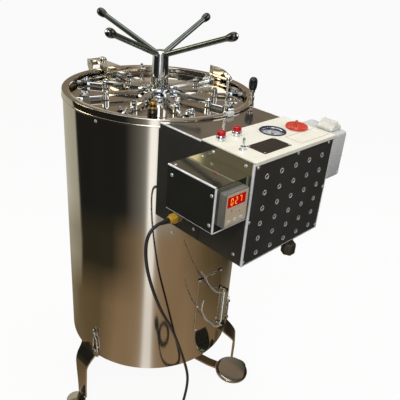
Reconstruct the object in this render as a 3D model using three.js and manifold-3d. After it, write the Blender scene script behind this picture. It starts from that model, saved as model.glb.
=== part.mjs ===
// Vertical autoclave with a radial-arm lid lock, a pedal-lifted lid and a side control box.
// Millimetres, +Z up. The model is built on the tank's axis with the floor at z = 0,
// and the finished group is moved so that its origin is under the middle of the object.
// The control box stands out towards -Y. A bearing is an angle from -Y towards +X, in degrees.
import * as THREE from 'three';
import * as BufferGeometryUtils from 'three/addons/utils/BufferGeometryUtils.js';
import Module from 'manifold-3d';

const wasm = await Module();
wasm.setup();

// Fits
const seat = 0.3; // gap between pieces that touch
const run = 0.5; // running clearance round a shaft or a slide
const over = 5; // how far a cutting tool runs past the piece it cuts
const sink = 1; // how far joined solids reach into each other
const facets = 48; // sides of every circle about the tank's axis

// Tank
const jacketRadius = 250;
const jacketSheet = 2;
const legHeight = 195; // floor to the jacket's lower edge
const jacketFlange = 14; // inward flange at the jacket's foot

const ring = {
  proud: 3, // how far the rim band stands out of the jacket
  band: 20, // height of the band
  lipWidth: 17, // the locking lip, measured inwards from the jacket's radius
  lip: 5, // thickness of the lip that the bolts reach under
  groove: 5, // wall left outside the bolt groove
  grooveHeight: 16,
  wall: 14, // inner wall below the groove, measured inwards from the jacket's radius
  ledgeDrop: 36, // rim top down to the ledge that carries the gasket
  ledge: 8,
  ledgeWidth: 30,
  edge: 2,
};
const ringOuter = jacketRadius + ring.proud;
const lipInner = jacketRadius - ring.lipWidth;
const ringWall = jacketRadius - ring.wall;

const chamber = { radius: 200, sheet: 3, depth: 600, flange: 38, flangeThickness: 7, drain: 9 };
const basePlate = { sheet: 3, cableHole: 16, cableX: 60, cableY: -120 };
const pipeSpace = 108.4; // between the base plate and the chamber's floor

// Heights of the tank, from the floor up
const baseLow = legHeight + jacketSheet + seat;
const chamberFloor = baseLow + basePlate.sheet + pipeSpace + chamber.sheet;
const chamberTop = chamberFloor + chamber.depth;
const ledgeTop = chamberTop + seat + ring.ledge;
const rimTop = ledgeTop + ring.ledgeDrop;
const gasket = { inner: 9, width: 15 };

// Lid
const lid = { gap: 3, taper: 4, thickness: 12, recess: 18, edge: 6, boss: 24, bossHeight: 3.7 };
const lidRadius = lipInner - lid.gap;
const lidTop = rimTop - lid.recess;
const spindle = { radius: 14, height: 64 };

// Radial lock
const boltCount = 9;
const boltBearing = 16; // bearing of the bolt nearest the control box
const bolt = {
  radius: 5,
  lift: 6.5, // lid top to the bolt's centre line
  stroke: 12,
  nose: 2,
  knuckleAt: 150,
  knuckle: 9,
  barWidth: 13,
  barThickness: 8,
  barInner: 34,
  pinAt: 42,
  pin: 4,
  nut: 6.5,
  nutHeight: 4.5,
};
const boltTip = lidRadius - 0.5;
const boltCentre = lidTop + bolt.lift;
const guide = { at: 205, length: 18, width: 26, top: 6, studAt: 8.5, stud: 3.6, studHeight: 6 };
const lockTurn = 30; // degrees of capstan turn from open to locked
const camPlate = { radius: 66, thickness: 5.5, above: 4 };
const camBottom = lidTop + camPlate.above;
const camTop = camBottom + camPlate.thickness;
const barBottom = camTop + 1;
const barTop = barBottom + bolt.barThickness;

const capstan = { collar: 26, collarTop: 20, foot: 23.3, column: 20.5, columnTop: 111, dome: 7 };
const domeShares = [[0.82, 0.7], [0.42, 1]]; // shares of the column's radius and the dome's height
const handle = { tilt: 21.4, root: 13.6, rootDrop: 10, reach: 185, radius: 7 };
const handleBearings = [15.1, 102, 193.2, 285.6];
const knob = { length: 31, neck: 7.8, belly: 11.4 };
const eggShares = [[0.76, 0.12], [0.92, 0.32], [1, 0.58], [0.84, 0.8], [0.48, 0.94]]; // of belly and length

// Lid hinge and lift at the back
const hinge = { out: 42, above: 8, barrel: 10, pin: 5, halfWidth: 21.5 };
const hingeY = jacketRadius + hinge.out;
const hingeZ = rimTop + hinge.above;
const carrier = { thickness: 8, width: 28, above: 8, footAt: 150, footSide: 58, foot: 6, cross: 18 };
const cap = { at: 262, radius: 9, height: 12 }; // domed cap on the carrier's bar
const capShares = [[1, 0.5], [0.75, 0.85], [0.35, 1]]; // of its radius and height
const carrierBottom = rimTop + carrier.above;
const bracket = { side: 22, cheek: 6, pad: 34, padLow: 96, padHigh: 31, padThickness: 6, top: 9, nose: 8 };
const rod = { out: 18, radius: 5, foot: 6, footHeight: 6, guideDrop: 78, guideHeight: 26, guidePast: 5 };
const rodY = jacketRadius + rod.out;

const pedal = {
  pivotY: 120,
  pivotDrop: 45, // jacket's lower edge down to the pivot
  thickness: 6,
  width: 27,
  tube: 10,
  pin: 6,
  halfTube: 20,
  ear: 6,
  earWidth: 40,
  earTip: 20,
  rearPast: 14,
  kneeX: 34,
  kneeY: -190,
  padX: 84,
  padY: -304,
  padRadius: 50,
  padRim: 7,
  padSheet: 3,
  padEdge: 4,
  drop: 35,
};
const pivotZ = legHeight - pedal.pivotDrop;

// Legs
const legBearings = [['left', -89], ['right', 40], ['rear', 150]];
const legReach = { left: 0, right: 15, rear: 0 }; // how much further out a leg's bend stands
const leg = {
  thickness: 6,
  tab: 13, // how far its top reaches in under the jacket's flange
  soleWidth: 38,
};
// Outer face of a leg: drop below the jacket's edge, distance beyond its radius, width, share of its reach
const legFace = [
  [seat, -6, 74, 0],
  [10, -2, 71.5, 0.05],
  [20, 6, 68, 0.12],
  [30, 14, 64.5, 0.27],
  [45, 22, 58.5, 0.68],
  [60, 26, 52.5, 1],
  [105, 26, 46, 1],
  [145, 26, 40, 1],
];
const foot = { radius: 29, height: 10, edge: 3, at: 297 };
const strapAside = { left: 40, right: 6, rear: 40 }; // from the leg's middle, along the jacket
const strap = {
  width: 22,
  length: 62,
  wall: 5,
  thickness: 4,
  low: 5,
  lug: 16,
  lugDrop: 8,
  lugIn: 13,
  bolt: 6.5,
  nutAt: 77,
  nut: 9,
  wing: 16,
  wingWidth: 6,
  wingTurn: 38,
};

// Control box
const box = {
  left: -161,
  right: 113,
  front: -473,
  drop: 5, // rim's top down to the top of its walls
  height: 237,
  sheet: 2,
  flange: 12,
  panelBack: -327,
  backInside: 40,
};
const boxTop = rimTop - box.drop;
const boxBottom = boxTop - box.height;
const panel = { thickness: 3, lip: 5 };
const grille = { thickness: 2, columns: 5, rows: 6, pitchX: 48, pitchZ: 36, hole: 4.6, centreX: -21, topZ: 37 };
const panelTop = boxTop + seat + panel.thickness;

const housing = { left: -255, front: -466, back: -332, drop: 26, height: 99, sheet: 2 };
const housingTop = boxTop - housing.drop;
const housingBottom = housingTop - housing.height;
const controller = { left: -244, width: 66, rise: 16, height: 71, bezel: 14, bodyInset: 3, bodyDepth: 58, edge: 2 };
const controllerLow = housingBottom + controller.rise;
const key = { count: 3, width: 10, height: 7, proud: 1.2, depth: 2.4, rise: 10, pitch: 18, pocket: 4.2 };

const lamp = { y: -351.5, xs: [-129, -80.5], bezel: 11, bezelHeight: 10, cap: 9.5, capHeight: 10, shank: 8, shankDepth: 22 };
const toggle = {
  x: -130,
  y: -414,
  radius: 2.6,
  neck: 1.9,
  length: 22,
  hole: 6,
  bush: 5.6,
  bushHeight: 7,
  bushWall: 1,
  nutPast: 1.5,
  nutHeight: 2,
};
const gauge = {
  x: 7,
  y: -380,
  flange: 30.5,
  flangeHeight: 2.2,
  cup: 27.5,
  depth: 26,
  wall: 2,
  dialDrop: 8,
  glassDrop: 1.6,
  glass: 2,
  step: 1.4,
  needle: 21,
  tail: 7,
  needleWidth: 2.2,
  needleThickness: 1,
  hub: 3.4,
  restTurn: 225, // degrees from +X to the needle at rest
};
const heatKnob = {
  x: 73,
  y: -396,
  radius: 25.5,
  height: 7.5,
  gap: 1.2,
  shaft: 3,
  hole: 4,
  ridge: 7,
  ridgeHeight: 6,
  restTurn: 41, // degrees from +X to its ridge at rest
  depth: 18,
};
const socket = { right: 170, front: -472, back: -371, above: 1, height: 112, edge: 6, recess: 17, recessDepth: 20, at: -437 };
const socketTop = boxTop + socket.above;
const cladPlug = { width: 42, depth: 44, height: 20, edge: 5, boss: 16.2, bossDepth: 17 };
const pressureKnob = { x: 27, y: -461, radius: 17, drop: 46, height: 30, neck: 8, shaft: 5, hole: 6, up: 14, lobes: 6, lobe: 2 };

// Valves and fittings
const weightValve = { at: 211, bearing: -44.2, radius: 12, height: 52 };
const ventPipe = { at: 214.4, bearing: 8.6, radius: 5.5, height: 94 };
const vacuumValve = { at: 176, bearing: -13, radius: 7, height: 17, ring: 8, wire: 1.3, ringShare: 0.8, leanShare: 0.4 };
const release = { at: 245, bearing: 35.6, radius: 7.5, height: 26, knob: 11, knobHeight: 32, stem: 3, stemDepth: 14 };
// Outlines of the turned fittings, in shares of their radius and height
const weightShares = [[0.75, 0], [0.75, 0.12], [1, 0.15], [1, 0.62], [0.75, 0.66], [0.75, 0.84], [0.38, 0.88], [0.38, 1]];
const ventShares = [[1, 0], [1, 0.06], [0.6, 0.1], [0.6, 0.88], [1, 0.91], [1, 0.98], [0.6, 1]];
const vacuumShares = [[1, 0], [1, 0.4], [0.55, 0.5], [0.55, 1]];
const releaseShares = [[1, 0], [1, 0.35], [0.75, 0.45], [0.75, 0.75], [1, 0.8], [1, 1]];
const releaseKnobShares = [[0.8, 0], [1, 0.2], [1, 0.82], [0.7, 1]];
const fin = {
  at: 243,
  thickness: 4,
  low: 5,
  middle: 18,
  high: 24,
  front: -36,
  crown: -14,
  back: 53,
  post: 38,
  postWidth: 7,
  postProud: 1.5,
};
const lug = { bearing: 1.5, width: 19, inner: 245, outer: 257, low: 4.5, high: 6 };

// Heights here are counted from the jacket's lower edge
const cover = { fromBearing: -10.5, toBearing: 11, low: 112, high: 298, thickness: 2.4 };
const levelGauge = { bearing: 15, at: 6.8, low: 82, high: 215, body: 6, glass: 3.5, boss: 5, socket: 9 };
const levers = {
  upper: [[0, 0], [-33, 12], [-64, 32], [-90, 58], [-112, 84], [-128, 105], [-148, 137], [-171, 165]],
  lower: [[0, 0], [-52, 31], [-85, 69], [-111, 96], [-125, 116], [-142, 146], [-148, 164], [-142, 187]],
  radius: 3,
  hub: 6.5,
  hubLength: 6,
};

// Mains cord
const cordRadius = 4;
const gland = { y: -262, above: 22, hex: 14, hexLength: 10, dome: 10, domeLength: 10, hole: 9 };
const glandZ = boxBottom + gland.above;
const relief = { length: 22, wide: 7 };
const cordExit = box.left - gland.hexLength - gland.domeLength - relief.length - 3 * seat;
const floorLay = cordRadius + 0.4;
const coil = { x: -184, y: -396, turns: 4, outer: 49, pitch: 8.8, layer: 8.7, start: 129, steps: 24, sides: 6 };
const coilStart = THREE.MathUtils.degToRad(coil.start);
const plug = { neck: 40, body: 40, width: 38, thickness: 23, pin: 3.4, pinLength: 18, pinSide: 10, edge: 5 };

// Inside the chamber
const heater = { radius: 130, tube: 5, lift: 30, tail: 22 };
const stand = { radius: 165, bar: 5, height: 58, legs: 3 };
const basket = { radius: 183, sheet: 2, height: 420, rim: 4, holes: 6, hole: 12, holesAt: 110 };

// Materials
const steel = new THREE.MeshStandardMaterial({ color: '#b9b4aa', roughness: 0.08, metalness: 1 });
const satin = new THREE.MeshStandardMaterial({ color: '#b4b3af', roughness: 0.35, metalness: 1 });
const chrome = new THREE.MeshStandardMaterial({ color: '#d4d8da', roughness: 0.05, metalness: 1 });
const darkSteel = new THREE.MeshStandardMaterial({ color: '#5b5a57', roughness: 0.1, metalness: 1 });
const brass = new THREE.MeshStandardMaterial({ color: '#c9a04c', roughness: 0.25, metalness: 1 });
const cast = new THREE.MeshStandardMaterial({ color: '#b6b8b6', roughness: 0.55, metalness: 0.7 });
const cream = new THREE.MeshStandardMaterial({ color: '#e6e3cc', roughness: 0.5, metalness: 0 });
const blackPlastic = new THREE.MeshStandardMaterial({ color: '#161616', roughness: 0.3, metalness: 0 });
const rubber = new THREE.MeshStandardMaterial({ color: '#1b1b1b', roughness: 0.6, metalness: 0 });
const silicone = new THREE.MeshStandardMaterial({ color: '#c9c4b6', roughness: 0.6, metalness: 0 });
const redPlastic = new THREE.MeshStandardMaterial({ color: '#d8352a', roughness: 0.35, metalness: 0 });
const lampRed = new THREE.MeshStandardMaterial({ color: '#cf1d2b', roughness: 0.25, metalness: 0 });
const beige = new THREE.MeshStandardMaterial({ color: '#b9ab96', roughness: 0.5, metalness: 0 });
const keyGrey = new THREE.MeshStandardMaterial({ color: '#d9d3c6', roughness: 0.6, metalness: 0 });
const white = new THREE.MeshStandardMaterial({ color: '#e4e4e0', roughness: 0.4, metalness: 0 });
const blueBlack = new THREE.MeshStandardMaterial({ color: '#20304a', roughness: 0.35, metalness: 0 });
const clear = new THREE.MeshStandardMaterial({ color: '#dfe6e6', roughness: 0.05, metalness: 0, transparent: true, opacity: 0.3 });

const radians = THREE.MathUtils.degToRad;

// Solids

function toSolid(geometry) {
  const plain = geometry.clone();
  plain.deleteAttribute('normal');
  plain.deleteAttribute('uv');
  const merged = BufferGeometryUtils.mergeVertices(plain, 1e-4);
  const triangles = [];
  const index = merged.index.array;
  for (let i = 0; i < index.length; i += 3) {
    const [a, b, c] = [index[i], index[i + 1], index[i + 2]];
    if (a !== b && b !== c && a !== c) triangles.push(a, b, c);
  }
  return new wasm.Manifold(new wasm.Mesh({
    numProp: 3,
    vertProperties: new Float32Array(merged.attributes.position.array),
    triVerts: new Uint32Array(triangles),
  }));
}

function toGeometry(solid) {
  const mesh = solid.getMesh();
  const geometry = new THREE.BufferGeometry();
  const positions = new Float32Array(mesh.numVert * 3);
  for (let i = 0; i < mesh.numVert; i += 1) {
    for (let k = 0; k < 3; k += 1) positions[3 * i + k] = mesh.vertProperties[mesh.numProp * i + k];
  }
  geometry.setAttribute('position', new THREE.BufferAttribute(positions, 3));
  geometry.setIndex(new THREE.BufferAttribute(new Uint32Array(mesh.triVerts), 1));
  return geometry;
}

function joined(...pieces) {
  return toGeometry(pieces.map(toSolid).reduce((whole, piece) => whole.add(piece)));
}

function cut(body, ...tools) {
  return toGeometry(tools.map(toSolid).reduce((rest, tool) => rest.subtract(tool), toSolid(body)));
}

function common(first, second) {
  return toGeometry(toSolid(first).intersect(toSolid(second)));
}

// A block from its lowest and highest corners
function block(x0, x1, y0, y1, z0, z1) {
  const geometry = new THREE.BoxGeometry(x1 - x0, y1 - y0, z1 - z0);
  return geometry.translate((x0 + x1) / 2, (y0 + y1) / 2, (z0 + z1) / 2);
}

// Upright cylinder or cone from z0 to z1
function upright(x, y, z0, z1, radius, sides = 24, topRadius = radius) {
  const geometry = new THREE.CylinderGeometry(topRadius, radius, z1 - z0, sides);
  return geometry.rotateX(Math.PI / 2).translate(x, y, (z0 + z1) / 2);
}

function alongX(x0, x1, y, z, radius, sides = 20, endRadius = radius) {
  const geometry = new THREE.CylinderGeometry(endRadius, radius, x1 - x0, sides);
  return geometry.rotateZ(-Math.PI / 2).translate((x0 + x1) / 2, y, z);
}

function alongY(x, y0, y1, z, radius, sides = 20) {
  const geometry = new THREE.CylinderGeometry(radius, radius, y1 - y0, sides);
  return geometry.translate(x, (y0 + y1) / 2, z);
}

// A turned shape about Z from a profile of radius and height
function turned(profile, sides = 48) {
  const geometry = new THREE.LatheGeometry(profile.map(([r, z]) => new THREE.Vector2(r, z)), sides);
  return geometry.rotateX(Math.PI / 2);
}

// A closed ring profile, its first point repeated at the end
function turnedRing(profile, sides = facets) {
  return turned([...profile, profile[0]], sides);
}

function extruded(outline, depth) {
  const shape = outline instanceof THREE.Shape ? outline : new THREE.Shape(outline.map(([a, b]) => new THREE.Vector2(a, b)));
  return new THREE.ExtrudeGeometry(shape, { depth, bevelEnabled: false, curveSegments: 6 });
}

// An outline of x and y, standing from z0 to z1
function standing(outline, z0, z1) {
  return extruded(outline, z1 - z0).translate(0, 0, z0);
}

// An outline of y and z, reaching from x0 to x1
function acrossX(outline, x0, x1) {
  const turn = new THREE.Matrix4().makeBasis(
    new THREE.Vector3(0, 1, 0),
    new THREE.Vector3(0, 0, 1),
    new THREE.Vector3(1, 0, 0),
  );
  return extruded(outline, x1 - x0).applyMatrix4(turn).translate(x0, 0, 0);
}

// An outline of x and z, reaching from y0 to y1
function acrossY(outline, y0, y1) {
  return extruded(outline, y1 - y0).rotateX(Math.PI / 2).translate(0, y1, 0);
}

// A block with bevelled edges, from its corners
function softBlock(x0, x1, y0, y1, z0, z1, edge) {
  const shape = new THREE.Shape([
    new THREE.Vector2(x0 + edge, y0 + edge),
    new THREE.Vector2(x1 - edge, y0 + edge),
    new THREE.Vector2(x1 - edge, y1 - edge),
    new THREE.Vector2(x0 + edge, y1 - edge),
  ]);
  const depth = z1 - z0 - 2 * edge;
  const options = { depth, bevelEnabled: true, bevelThickness: edge, bevelSize: edge, bevelSegments: 2 };
  return new THREE.ExtrudeGeometry(shape, options).translate(0, 0, z0 + edge);
}

function place(radius, bearing, z = 0) {
  const angle = radians(bearing);
  return new THREE.Vector3(radius * Math.sin(angle), -radius * Math.cos(angle), z);
}

// Turn a piece drawn along +X so that it points along a bearing
function toBearing(geometry, bearing) {
  return geometry.rotateZ(radians(bearing - 90));
}

const model = new THREE.Group();

function add(name, geometry, material, position = null, turn = 0) {
  const mesh = new THREE.Mesh(geometry, material);
  mesh.name = name;
  if (position) mesh.position.copy(position);
  mesh.rotation.z = turn;
  model.add(mesh);
  return mesh;
}

// Jacket: a polished sheet cylinder with an inward flange at its foot
const jacketTop = rimTop - ring.band - seat;
add('outer_jacket', turnedRing([
  [jacketRadius, legHeight],
  [jacketRadius, jacketTop],
  [jacketRadius - jacketSheet, jacketTop],
  [jacketRadius - jacketSheet, legHeight + jacketSheet],
  [jacketRadius - jacketFlange, legHeight + jacketSheet],
  [jacketRadius - jacketFlange, legHeight],
]), steel);

// Rim: the locking ring with its lip, bolt groove and gasket ledge, and a lug on the band
function rimRing() {
  const inJacket = jacketRadius - jacketSheet - seat;
  const grooveRadius = jacketRadius - ring.groove;
  const grooveFloor = rimTop - ring.lip - ring.grooveHeight;
  const body = turnedRing([
    [ringOuter, rimTop - ring.band],
    [ringOuter, rimTop - ring.edge],
    [ringOuter - ring.edge, rimTop],
    [lipInner + ring.edge, rimTop],
    [lipInner, rimTop - ring.edge],
    [lipInner, rimTop - ring.lip],
    [grooveRadius, rimTop - ring.lip],
    [grooveRadius, grooveFloor],
    [ringWall, grooveFloor],
    [ringWall, ledgeTop],
    [ringWall - ring.ledgeWidth, ledgeTop],
    [ringWall - ring.ledgeWidth, ledgeTop - ring.ledge],
    [inJacket, ledgeTop - ring.ledge],
    [inJacket, rimTop - ring.band],
  ]);
  const tab = toBearing(block(
    lug.inner,
    lug.outer,
    -lug.width / 2,
    lug.width / 2,
    rimTop - lug.low,
    rimTop + lug.high,
  ), lug.bearing);
  return joined(body, tab, ...guardFin());
}

// The guard fin and its slim post, standing on the rim's right side
function guardFin() {
  const half = fin.thickness / 2;
  const crownY = (fin.crown + fin.back) / 2;
  const outline = [
    [fin.front, rimTop - sink],
    [fin.back, rimTop - sink],
    [fin.back, rimTop + fin.high],
    [crownY, rimTop + fin.high],
    [fin.crown, rimTop + fin.middle],
    [fin.front, rimTop + fin.low],
  ];
  const postHalf = half + fin.postProud;
  return [
    acrossX(outline, fin.at - half, fin.at + half),
    block(fin.at - postHalf, fin.at + postHalf, fin.post, fin.post + fin.postWidth, rimTop - sink, rimTop + fin.high - sink),
  ];
}
add('rim_ring', rimRing(), steel);

// Chamber: the pressure vessel, hung by its flange under the ledge
function pressureChamber() {
  const outer = chamber.radius + chamber.sheet;
  const shell = turned([
    [0, chamberFloor - chamber.sheet],
    [outer, chamberFloor - chamber.sheet],
    [outer, chamberTop - chamber.flangeThickness],
    [chamber.radius + chamber.flange, chamberTop - chamber.flangeThickness],
    [chamber.radius + chamber.flange, chamberTop],
    [chamber.radius, chamberTop],
    [chamber.radius, chamberFloor],
    [0, chamberFloor],
  ], facets);
  const drain = upright(0, 0, chamberFloor - chamber.sheet - over, chamberFloor + over, chamber.drain, 20);
  return cut(shell, drain);
}
add('pressure_chamber', pressureChamber(), satin);

// Base plate: closes the jacket's foot and carries the pedal's two ears and pivot pin
function baseWithEars() {
  const plateTop = baseLow + basePlate.sheet;
  const plate = upright(0, 0, baseLow, plateTop, jacketRadius - jacketSheet - run, facets);
  const cable = upright(basePlate.cableX, basePlate.cableY, baseLow - over, plateTop + over, basePlate.cableHole, 20);
  const outline = [
    [pedal.pivotY - pedal.earWidth / 2, baseLow + sink],
    [pedal.pivotY - pedal.earTip / 2, pivotZ - pedal.tube],
    [pedal.pivotY + pedal.earTip / 2, pivotZ - pedal.tube],
    [pedal.pivotY + pedal.earWidth / 2, baseLow + sink],
  ];
  const inner = pedal.halfTube + run;
  const ears = [1, -1].map((side) => acrossX(
    outline,
    side > 0 ? inner : -inner - pedal.ear,
    side > 0 ? inner + pedal.ear : -inner,
  ));
  const reach = inner + pedal.ear + sink;
  const pin = alongX(-reach, reach, pedal.pivotY, pivotZ, pedal.pin, 12);
  return joined(cut(plate, cable), ...ears, pin);
}
add('base_plate', baseWithEars(), satin);

// Gasket on the ledge, under the lid
const gasketInner = ringWall - ring.ledgeWidth + gasket.inner;
const lidBottom = lidTop - lid.thickness;
add('lid_gasket', turnedRing([
  [gasketInner, ledgeTop + seat],
  [gasketInner + gasket.width, ledgeTop + seat],
  [gasketInner + gasket.width, lidBottom - seat],
  [gasketInner, lidBottom - seat],
]), silicone);

// Lid: a heavy turned disc with its spindle, nine guide blocks and the carrier that hinges it
function guideBlock(bearing) {
  const half = guide.length / 2;
  const top = boltCentre + bolt.radius + guide.top;
  const body = block(guide.at - half, guide.at + half, -guide.width / 2, guide.width / 2, lidTop - sink, top);
  const studs = [1, -1].map((side) => upright(
    guide.at,
    side * guide.studAt,
    top - sink,
    top + guide.studHeight,
    guide.stud,
    6,
  ));
  const bore = alongX(guide.at - half - over, guide.at + half + over, 0, boltCentre, bolt.radius + run, 8);
  return toBearing(cut(joined(body, ...studs), bore), bearing);
}

function boltBearings() {
  return Array.from({ length: boltCount }, (unused, i) => boltBearing + (360 / boltCount) * i);
}

// The lid's carrier: a bar from the hinge barrel over the rim to two feet on the lid
function lidCarrier() {
  const top = carrierBottom + carrier.thickness;
  const bar = block(-carrier.width / 2, carrier.width / 2, carrier.footAt, hingeY, carrierBottom, top);
  const side = carrier.footSide + carrier.foot + ring.edge;
  const cross = block(-side, side, carrier.footAt - carrier.cross / 2, carrier.footAt + carrier.cross / 2, carrierBottom, top);
  const feet = [1, -1].map((hand) => upright(
    hand * carrier.footSide,
    carrier.footAt,
    lidTop - sink,
    carrierBottom + sink,
    carrier.foot,
    16,
  ));
  const barrel = alongX(-hinge.halfWidth, hinge.halfWidth, hingeY, hingeZ, hinge.barrel, 20);
  const bore = alongX(-hinge.halfWidth - over, hinge.halfWidth + over, hingeY, hingeZ, hinge.pin + run, 12);
  const dome = turned([
    [0, -sink],
    [cap.radius, -sink],
    ...capShares.map(([wide, high]) => [wide * cap.radius, high * cap.height]),
    [0, cap.height],
  ], 16).translate(0, cap.at, top);
  return cut(joined(bar, cross, ...feet, barrel, dome), bore);
}
function lidPlate() {
  const disc = turned([
    [0, lidBottom],
    [lidRadius - lid.taper, lidBottom],
    [lidRadius, lidBottom + lid.edge],
    [lidRadius, lidTop],
    [lid.boss, lidTop],
    [lid.boss, lidTop + lid.bossHeight],
    [spindle.radius, lidTop + lid.bossHeight],
    [spindle.radius, lidTop + spindle.height - ring.edge],
    [spindle.radius - ring.edge, lidTop + spindle.height],
    [0, lidTop + spindle.height],
  ], facets);
  return joined(disc, ...boltBearings().map(guideBlock), lidCarrier());
}
add('lid_plate', lidPlate(), steel);

// Radial bolts: a flat bar from the cam plate to a knuckle, and a round bolt through its guide
function radialBolt() {
  const tip = boltTip - bolt.nose;
  const round = alongX(bolt.knuckleAt, tip, 0, boltCentre, bolt.radius, 8);
  const nose = alongX(tip - sink, boltTip, 0, boltCentre, bolt.radius, 8, bolt.radius - bolt.nose);
  const knuckle = upright(bolt.knuckleAt, 0, boltCentre - bolt.radius, barTop + sink, bolt.knuckle, 12);
  const bar = block(bolt.barInner, bolt.knuckleAt, -bolt.barWidth / 2, bolt.barWidth / 2, barBottom, barTop);
  const pin = upright(bolt.pinAt, 0, camBottom + sink, barTop, bolt.pin, 8);
  const pinNut = upright(bolt.pinAt, 0, barTop - sink, barTop + bolt.nutHeight, bolt.nut, 6);
  const knuckleNut = upright(bolt.knuckleAt, 0, barTop, barTop + sink + bolt.nutHeight, bolt.nut, 6);
  return joined(round, nose, knuckle, bar, pin, pinNut, knuckleNut);
}
boltBearings().forEach((bearing, i) => {
  add(`radial_bolt_${i + 1}`, radialBolt(), chrome, null, radians(bearing - 90));
});

// Capstan: cam plate with nine spiral slots, collar, column and four raised handle rods
function camSlot(bearing) {
  const steps = 3;
  const outer = [];
  const inner = [];
  const half = bolt.pin + run;
  const startAngle = radians(bearing - 90);
  for (let i = 0; i <= steps; i += 1) {
    const share = i / steps;
    const angle = startAngle + radians(lockTurn) * share;
    const radius = bolt.pinAt + bolt.stroke * share;
    const slope = bolt.stroke / radians(lockTurn);
    const length = Math.hypot(slope, radius);
    const along = [
      (slope * Math.cos(angle) - radius * Math.sin(angle)) / length,
      (slope * Math.sin(angle) + radius * Math.cos(angle)) / length,
    ];
    const end = i === 0 ? -half : i === steps ? half : 0;
    const x = radius * Math.cos(angle) + along[0] * end;
    const y = radius * Math.sin(angle) + along[1] * end;
    outer.push([x + along[1] * half, y - along[0] * half]);
    inner.unshift([x - along[1] * half, y + along[0] * half]);
  }
  return standing([...outer, ...inner], camBottom - over, camTop + over);
}

function handleRod(bearing) {
  const rise = lidTop + capstan.columnTop + capstan.dome - handle.rootDrop;
  const shaft = alongX(handle.root - capstan.column / 2, handle.root + handle.reach, 0, 0, handle.radius, 10);
  shaft.rotateY(-radians(handle.tilt));
  const root = new THREE.Vector3(handle.root, 0, 0).applyAxisAngle(new THREE.Vector3(0, 1, 0), -radians(handle.tilt));
  shaft.translate(handle.root - root.x, 0, rise - root.z);
  return toBearing(shaft, bearing);
}

function capstanBody() {
  const top = lidTop + capstan.columnTop;
  const column = turned([
    [0, camBottom],
    [camPlate.radius, camBottom],
    [camPlate.radius, camTop],
    [capstan.collar, camTop],
    [capstan.collar, lidTop + capstan.collarTop - ring.edge],
    [capstan.foot, lidTop + capstan.collarTop],
    [capstan.column, top],
    ...domeShares.map(([wide, high]) => [wide * capstan.column, top + high * capstan.dome]),
    [0, top + capstan.dome],
  ], 24);
  const bore = upright(0, 0, camBottom - over, lidTop + spindle.height + run, spindle.radius + run, facets);
  return cut(joined(column, ...handleBearings.map(handleRod)), bore, ...boltBearings().map(camSlot));
}
add('capstan', capstanBody(), chrome);

// Egg-shaped handle knobs on the rod ends
function handleKnob() {
  const egg = eggShares.map(([wide, along]) => [wide * knob.belly, along * knob.length]);
  return turned([[0, 0], [knob.neck, 0], ...egg, [0, knob.length]], 12);
}
handleBearings.forEach((bearing, i) => {
  const tilt = radians(handle.tilt);
  const out = handle.root + (handle.reach + seat) * Math.cos(tilt);
  const rise = lidTop + capstan.columnTop + capstan.dome - handle.rootDrop + (handle.reach + seat) * Math.sin(tilt);
  const geometry = handleKnob().rotateY(Math.PI / 2 - tilt).translate(out, 0, rise);
  add(`handle_knob_${i + 1}`, geometry, blackPlastic, null, radians(bearing - 90));
});

// Hinge bracket on the back of the jacket, with the pin and the lift rod's upper guide
function hingeBracket() {
  const padFace = jacketRadius + bracket.padThickness;
  const padLow = rimTop - bracket.padLow;
  const padHigh = rimTop - bracket.padHigh;
  const pad = cut(
    block(-bracket.pad, bracket.pad, jacketRadius - bracket.padThickness, padFace, padLow, padHigh),
    upright(0, 0, padLow - over, padHigh + over, jacketRadius + seat, facets),
  );
  const outline = [
    [padFace - sink, padLow + bracket.nose],
    [hingeY + bracket.nose, hingeZ - bracket.top],
    [hingeY + bracket.nose, hingeZ + bracket.top],
    [hingeY - bracket.nose, hingeZ + bracket.top],
    [padFace - sink, padHigh + bracket.nose],
  ];
  const cheeks = [1, -1].map((hand) => acrossX(
    outline,
    hand > 0 ? bracket.side : -bracket.side - bracket.cheek,
    hand > 0 ? bracket.side + bracket.cheek : -bracket.side,
  ));
  const reach = bracket.side + bracket.cheek + sink;
  const pin = alongX(-reach, reach, hingeY, hingeZ, hinge.pin, 12);
  const guideLow = rimTop - rod.guideDrop;
  const shelf = block(
    -bracket.side - sink,
    bracket.side + sink,
    padFace - sink,
    rodY + rod.radius + rod.guidePast,
    guideLow,
    guideLow + rod.guideHeight,
  );
  const hole = upright(0, rodY, guideLow - over, guideLow + rod.guideHeight + over, rod.radius + run, 16);
  return joined(pad, ...cheeks, pin, cut(shelf, hole));
}
add('hinge_bracket', hingeBracket(), steel);

// Lift rod: stands on the pedal lever and pushes the lid carrier up
const leverTop = pivotZ + pedal.thickness / 2;
add('lift_rod', joined(
  upright(0, rodY, leverTop + seat, carrierBottom - seat, rod.radius, 16),
  upright(0, rodY, leverTop + seat, leverTop + seat + rod.footHeight, rod.foot, 16),
), chrome);

// A path beside another one, to its left where the distance is negative
function offsetPath(points, distance) {
  return points.map((point, i) => {
    const before = points[Math.max(i - 1, 0)];
    const after = points[Math.min(i + 1, points.length - 1)];
    const length = Math.hypot(after[0] - before[0], after[1] - before[1]);
    const normal = [-(after[1] - before[1]) / length, (after[0] - before[0]) / length];
    return [point[0] + normal[0] * distance, point[1] + normal[1] * distance];
  });
}

// Pedal: a cranked flat lever under the tank with a round foot plate
function strip(points, width) {
  return [...offsetPath(points, width / 2), ...offsetPath(points, -width / 2).reverse()];
}

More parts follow.
